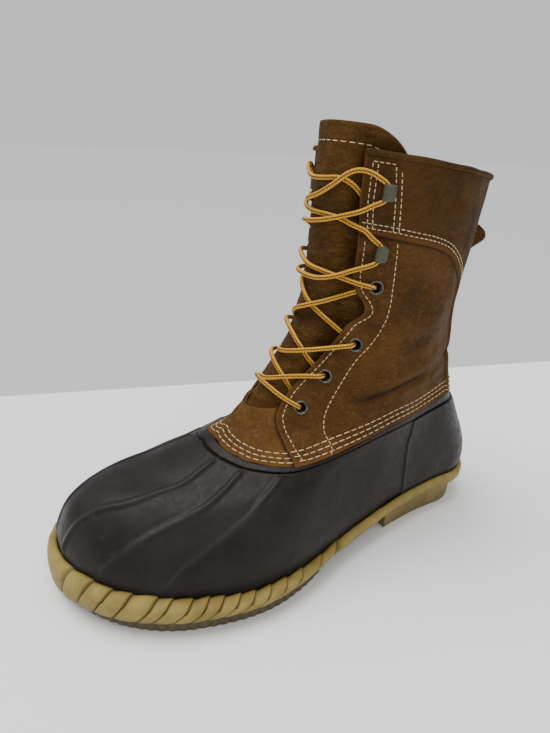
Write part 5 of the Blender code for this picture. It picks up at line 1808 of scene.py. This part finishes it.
def lower_rows():
    """Three rows above the lower edge, round the quarters and the vamp."""
    lines = []
    for level in ROWS:
        u, v = above_edge(np.linspace(0.0, 1.0, 1601), level)
        fold = np.minimum(u, 1 - u)
        front = (flap_edge(np.maximum(v, FLAP_START)) - fold) * GIRTH
        low = flare(level, *LOW_FLARE) - 0.12 * MM
        back = skin(u, v) + low + np.where(fold < STRAP_EDGE, PANEL_STEP, 0.0)
        d = np.where(front > 0, back, VAMP_LEVEL + flare(level, *VAMP_FLARE) - 0.12 * MM)
        points = at(u, v, d)
        ways = normal(u, v)
        # the rows break where the flaps end
        first = int(np.argmax(front < 0))
        second = len(u) - int(np.argmax(front[::-1] < 0))
        for part in (slice(0, first), slice(first, second), slice(second, None)):
            lines.append((points[part], ways[part]))
    return lines


def facing_rows():
    """Rows along the flap edge, behind the eyelets and at the front of the collar panel."""
    # along the flap edge, from the vamp to the collar panel
    v = np.linspace(0.361, 0.850, 500)
    lines = both(flap_edge(v) - flap_row(v) / GIRTH, v,
                 -0.10 * MM + 0.45 * MM * (1 - ease((v - 0.358) / 0.02)))
    # the facing line behind the eyelets
    knots, across = columns(FACING_LINE)
    v = np.linspace(0.366, 0.846, 500)
    lines += both(smooth(v, knots, across), v,
                  0.02 * MM + 0.25 * MM * (1 - ease((v - 0.372) / 0.02)))
    # on the collar panel: the facing pair, the front pair and a row at the top
    v = np.linspace(0.862, 0.976, 150)
    for shift in (0.0, 2.5):
        u = np.interp(v, (0.855, 0.920, 0.988), (0.324, 0.331, 0.340)) - shift * MM / GIRTH + 0.007
        lines += both(u, v, PANEL_STEP)
        lines += both(flap_edge(v) - (4.0 + shift) * MM / GIRTH, v, PANEL_STEP)
    u = np.linspace(0.345, 0.384, 60)
    return lines + both(u, np.full(60, 0.977), PANEL_STEP)


def panel_rows():
    """A double row above the panel's edge and down the strap."""
    lines = []
    for level in PANEL_ROWS:
        u = np.linspace(0.385, STRAP_EDGE, 400)
        v = panel_edge(u) + level / CLIMB
        keep = u > STRAP_EDGE + 0.002
        turn_v = np.linspace(v[-1] - 0.002, leather_edge(0.095) + 0.010, 300)
        turn_u = np.full(300, STRAP_EDGE - level / GIRTH)
        u = np.concatenate([u[keep], turn_u])
        v = np.concatenate([v[keep], turn_v])
        # round the corner
        for _ in range(14):
            u[1:-1] = (u[:-2] + u[2:]) / 2
            v[1:-1] = (v[:-2] + v[2:]) / 2
        lines += both(u, v, PANEL_STEP - 0.14 * MM)
    return lines


def seams():
    """All rows of stitches on the leather."""
    stitches("seam_lower", lower_rows(), 3.8, 1.1, 0.34)
    stitches("seam_upper", facing_rows() + panel_rows(), 2.3, 0.9, 0.29)
    # across the tongue below its top
    u, v = tongue_place(np.linspace(-0.97, 0.97, 300), np.full(300, TONGUE_ROW))
    tongue_line = [(at(u, v, tongue_skin(u, v)[0] - 0.10 * MM), normal(u, v))]
    stitches("seam_tongue", tongue_line, 3.6, 1.4, 0.27, "tongue")
    # both sides of the back strap
    v = np.linspace(0.425, 0.80, 200)
    lines = []
    for side in (-1, 1):
        u = np.full(200, side * BACK_STRAP_ROW / GIRTH)
        lines.append((at(u, v, PANEL_STEP + skin(u, v) + 1.85 * MM), normal(u, v)))
    stitches("seam_back", lines, 2.6, 1.0, 0.36, "backstay")


def insole_dress():
    """The insole keeps its solid and takes a fabric look."""
    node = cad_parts["insole"]
    for slot in node.material_slots:
        slot.material = FELT_LOOK


def room():
    """Pale floor in two tones that meet behind the boot, and soft light."""
    floor = Look("floor", 0.8, specular=0.15)
    axes = floor.tree.nodes.new("ShaderNodeSeparateXYZ")
    floor.put(floor.place, axes.inputs[0])
    # the tones meet along a line through (-0.239, 0.121)
    ahead = floor.math("MULTIPLY_ADD", axes.outputs[0], 0.9726, 0.2606)
    ahead = floor.math("MULTIPLY_ADD", axes.outputs[1], -0.2325, ahead)
    cloud = floor.noise(0.35, 3.0, 0.5)
    near = floor.mix(cloud, (0.865, 0.868, 0.872), (0.885, 0.888, 0.892))
    far = floor.mix(cloud, (0.492, 0.494, 0.498), (0.500, 0.502, 0.506))
    paint = floor.finish(floor.mix(floor.spread(ahead, -0.0008, 0.0008), far, near), None,
                         floor.bump(floor.noise(0.004, 3.0, 0.6), 0.0004, strength=0.3))
    mesh = bpy.data.meshes.new("floor")
    signs = ((-1, -1), (1, -1), (1, 1), (-1, 1))
    corners = [(x * FLOOR_HALF, y * FLOOR_HALF, -0.0001) for x, y in signs]
    mesh.from_pydata(corners, [], [(0, 1, 2, 3)])
    mesh.materials.append(paint)
    made = linked("floor", mesh)
    made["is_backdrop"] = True
    world = bpy.data.worlds.new("room")
    world.use_nodes = True
    world.node_tree.nodes["Background"].inputs["Color"].default_value = (0.985, 0.99, 1.0, 1.0)
    world.node_tree.nodes["Background"].inputs["Strength"].default_value = 0.74
    bpy.context.scene.world = world
    for name, kind, place, aim, size, power, colour in (
            # name, kind, place, aim, size or angle, power, colour
            ("ceiling", "SUN", (-0.25, -0.45, 1.75), (0.0, 0.0, 0.0), 0.75, 2.80,
             (1.0, 0.985, 0.96)),
            ("front", "AREA", (1.30, -0.45, 1.05), (0.0, 0.0, 0.10), 1.2, 8.0, (1.0, 0.97, 0.93)),
            ("left", "AREA", (-0.90, -1.10, 1.20), (0.0, 0.0, 0.10), 1.0, 3.0, (0.95, 0.98, 1.0))):
        data = bpy.data.lights.new(name, kind)
        if kind == "SUN":
            data.angle = size
        else:
            data.shape = "SQUARE"
            data.size = size
        data.energy = power
        data.color = colour
        made = linked(name, data)
        made.location = place
        turn = Vector(aim) - Vector(place)
        made.rotation_mode = "QUATERNION"
        made.rotation_quaternion = turn.to_track_quat("-Z", "Y")


LEATHER_LOOK = leather_look("nubuck", (0.0386, 0.0168, 0.0039), (0.0790, 0.0360, 0.0082),
                            (0.1286, 0.0654, 0.0173))
PANEL_LOOK = leather_look("nubuck_dark", (0.0312, 0.0144, 0.0034), (0.0551, 0.0248, 0.0054),
                          (0.0883, 0.0440, 0.0117))
VAMP_LOOK = leather_look("nubuck_vamp", (0.0551, 0.0243, 0.0052), (0.1066, 0.0486, 0.0112),
                         (0.1608, 0.0822, 0.0233))
TONGUE_LOOK = leather_look("nubuck_tongue", (0.0312, 0.0140, 0.0026), (0.0716, 0.0327, 0.0061),
                           (0.1240, 0.0674, 0.0173), 3.2)
BINDING_LOOK = leather_look("nubuck_binding", (0.0276, 0.0136, 0.0034), (0.0551, 0.0281, 0.0073),
                            (0.0919, 0.0486, 0.0139))
EDGE_LOOK = edge_look()
LINING_LOOK = lining_look()
RUBBER_LOOK = rubber_look()
GUM_LOOK = gum_look()
EYELET_LOOK = brass_look("eyelet_metal", (0.036, 0.034, 0.023), (0.130, 0.124, 0.092), 0.6)
HOOK_LOOK = brass_look("hook_metal", (0.026, 0.029, 0.014), (0.046, 0.049, 0.025), 0.1)
LACE_LOOK = lace_look()
THREAD_LOOK = thread_look()
FELT_LOOK = felt_look()

camera()
room()
quarters()
collar_panel()
vamp()
rubber_bottom()
gum_outsole()
gum_heel()
tongue()
binding()
back_strap()
eyelets()
hooks()
lace()
seams()
insole_dress()

visual_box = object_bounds()
plain = [[[float(n) for n in corner] for corner in box] for box in (cad_box, visual_box)]
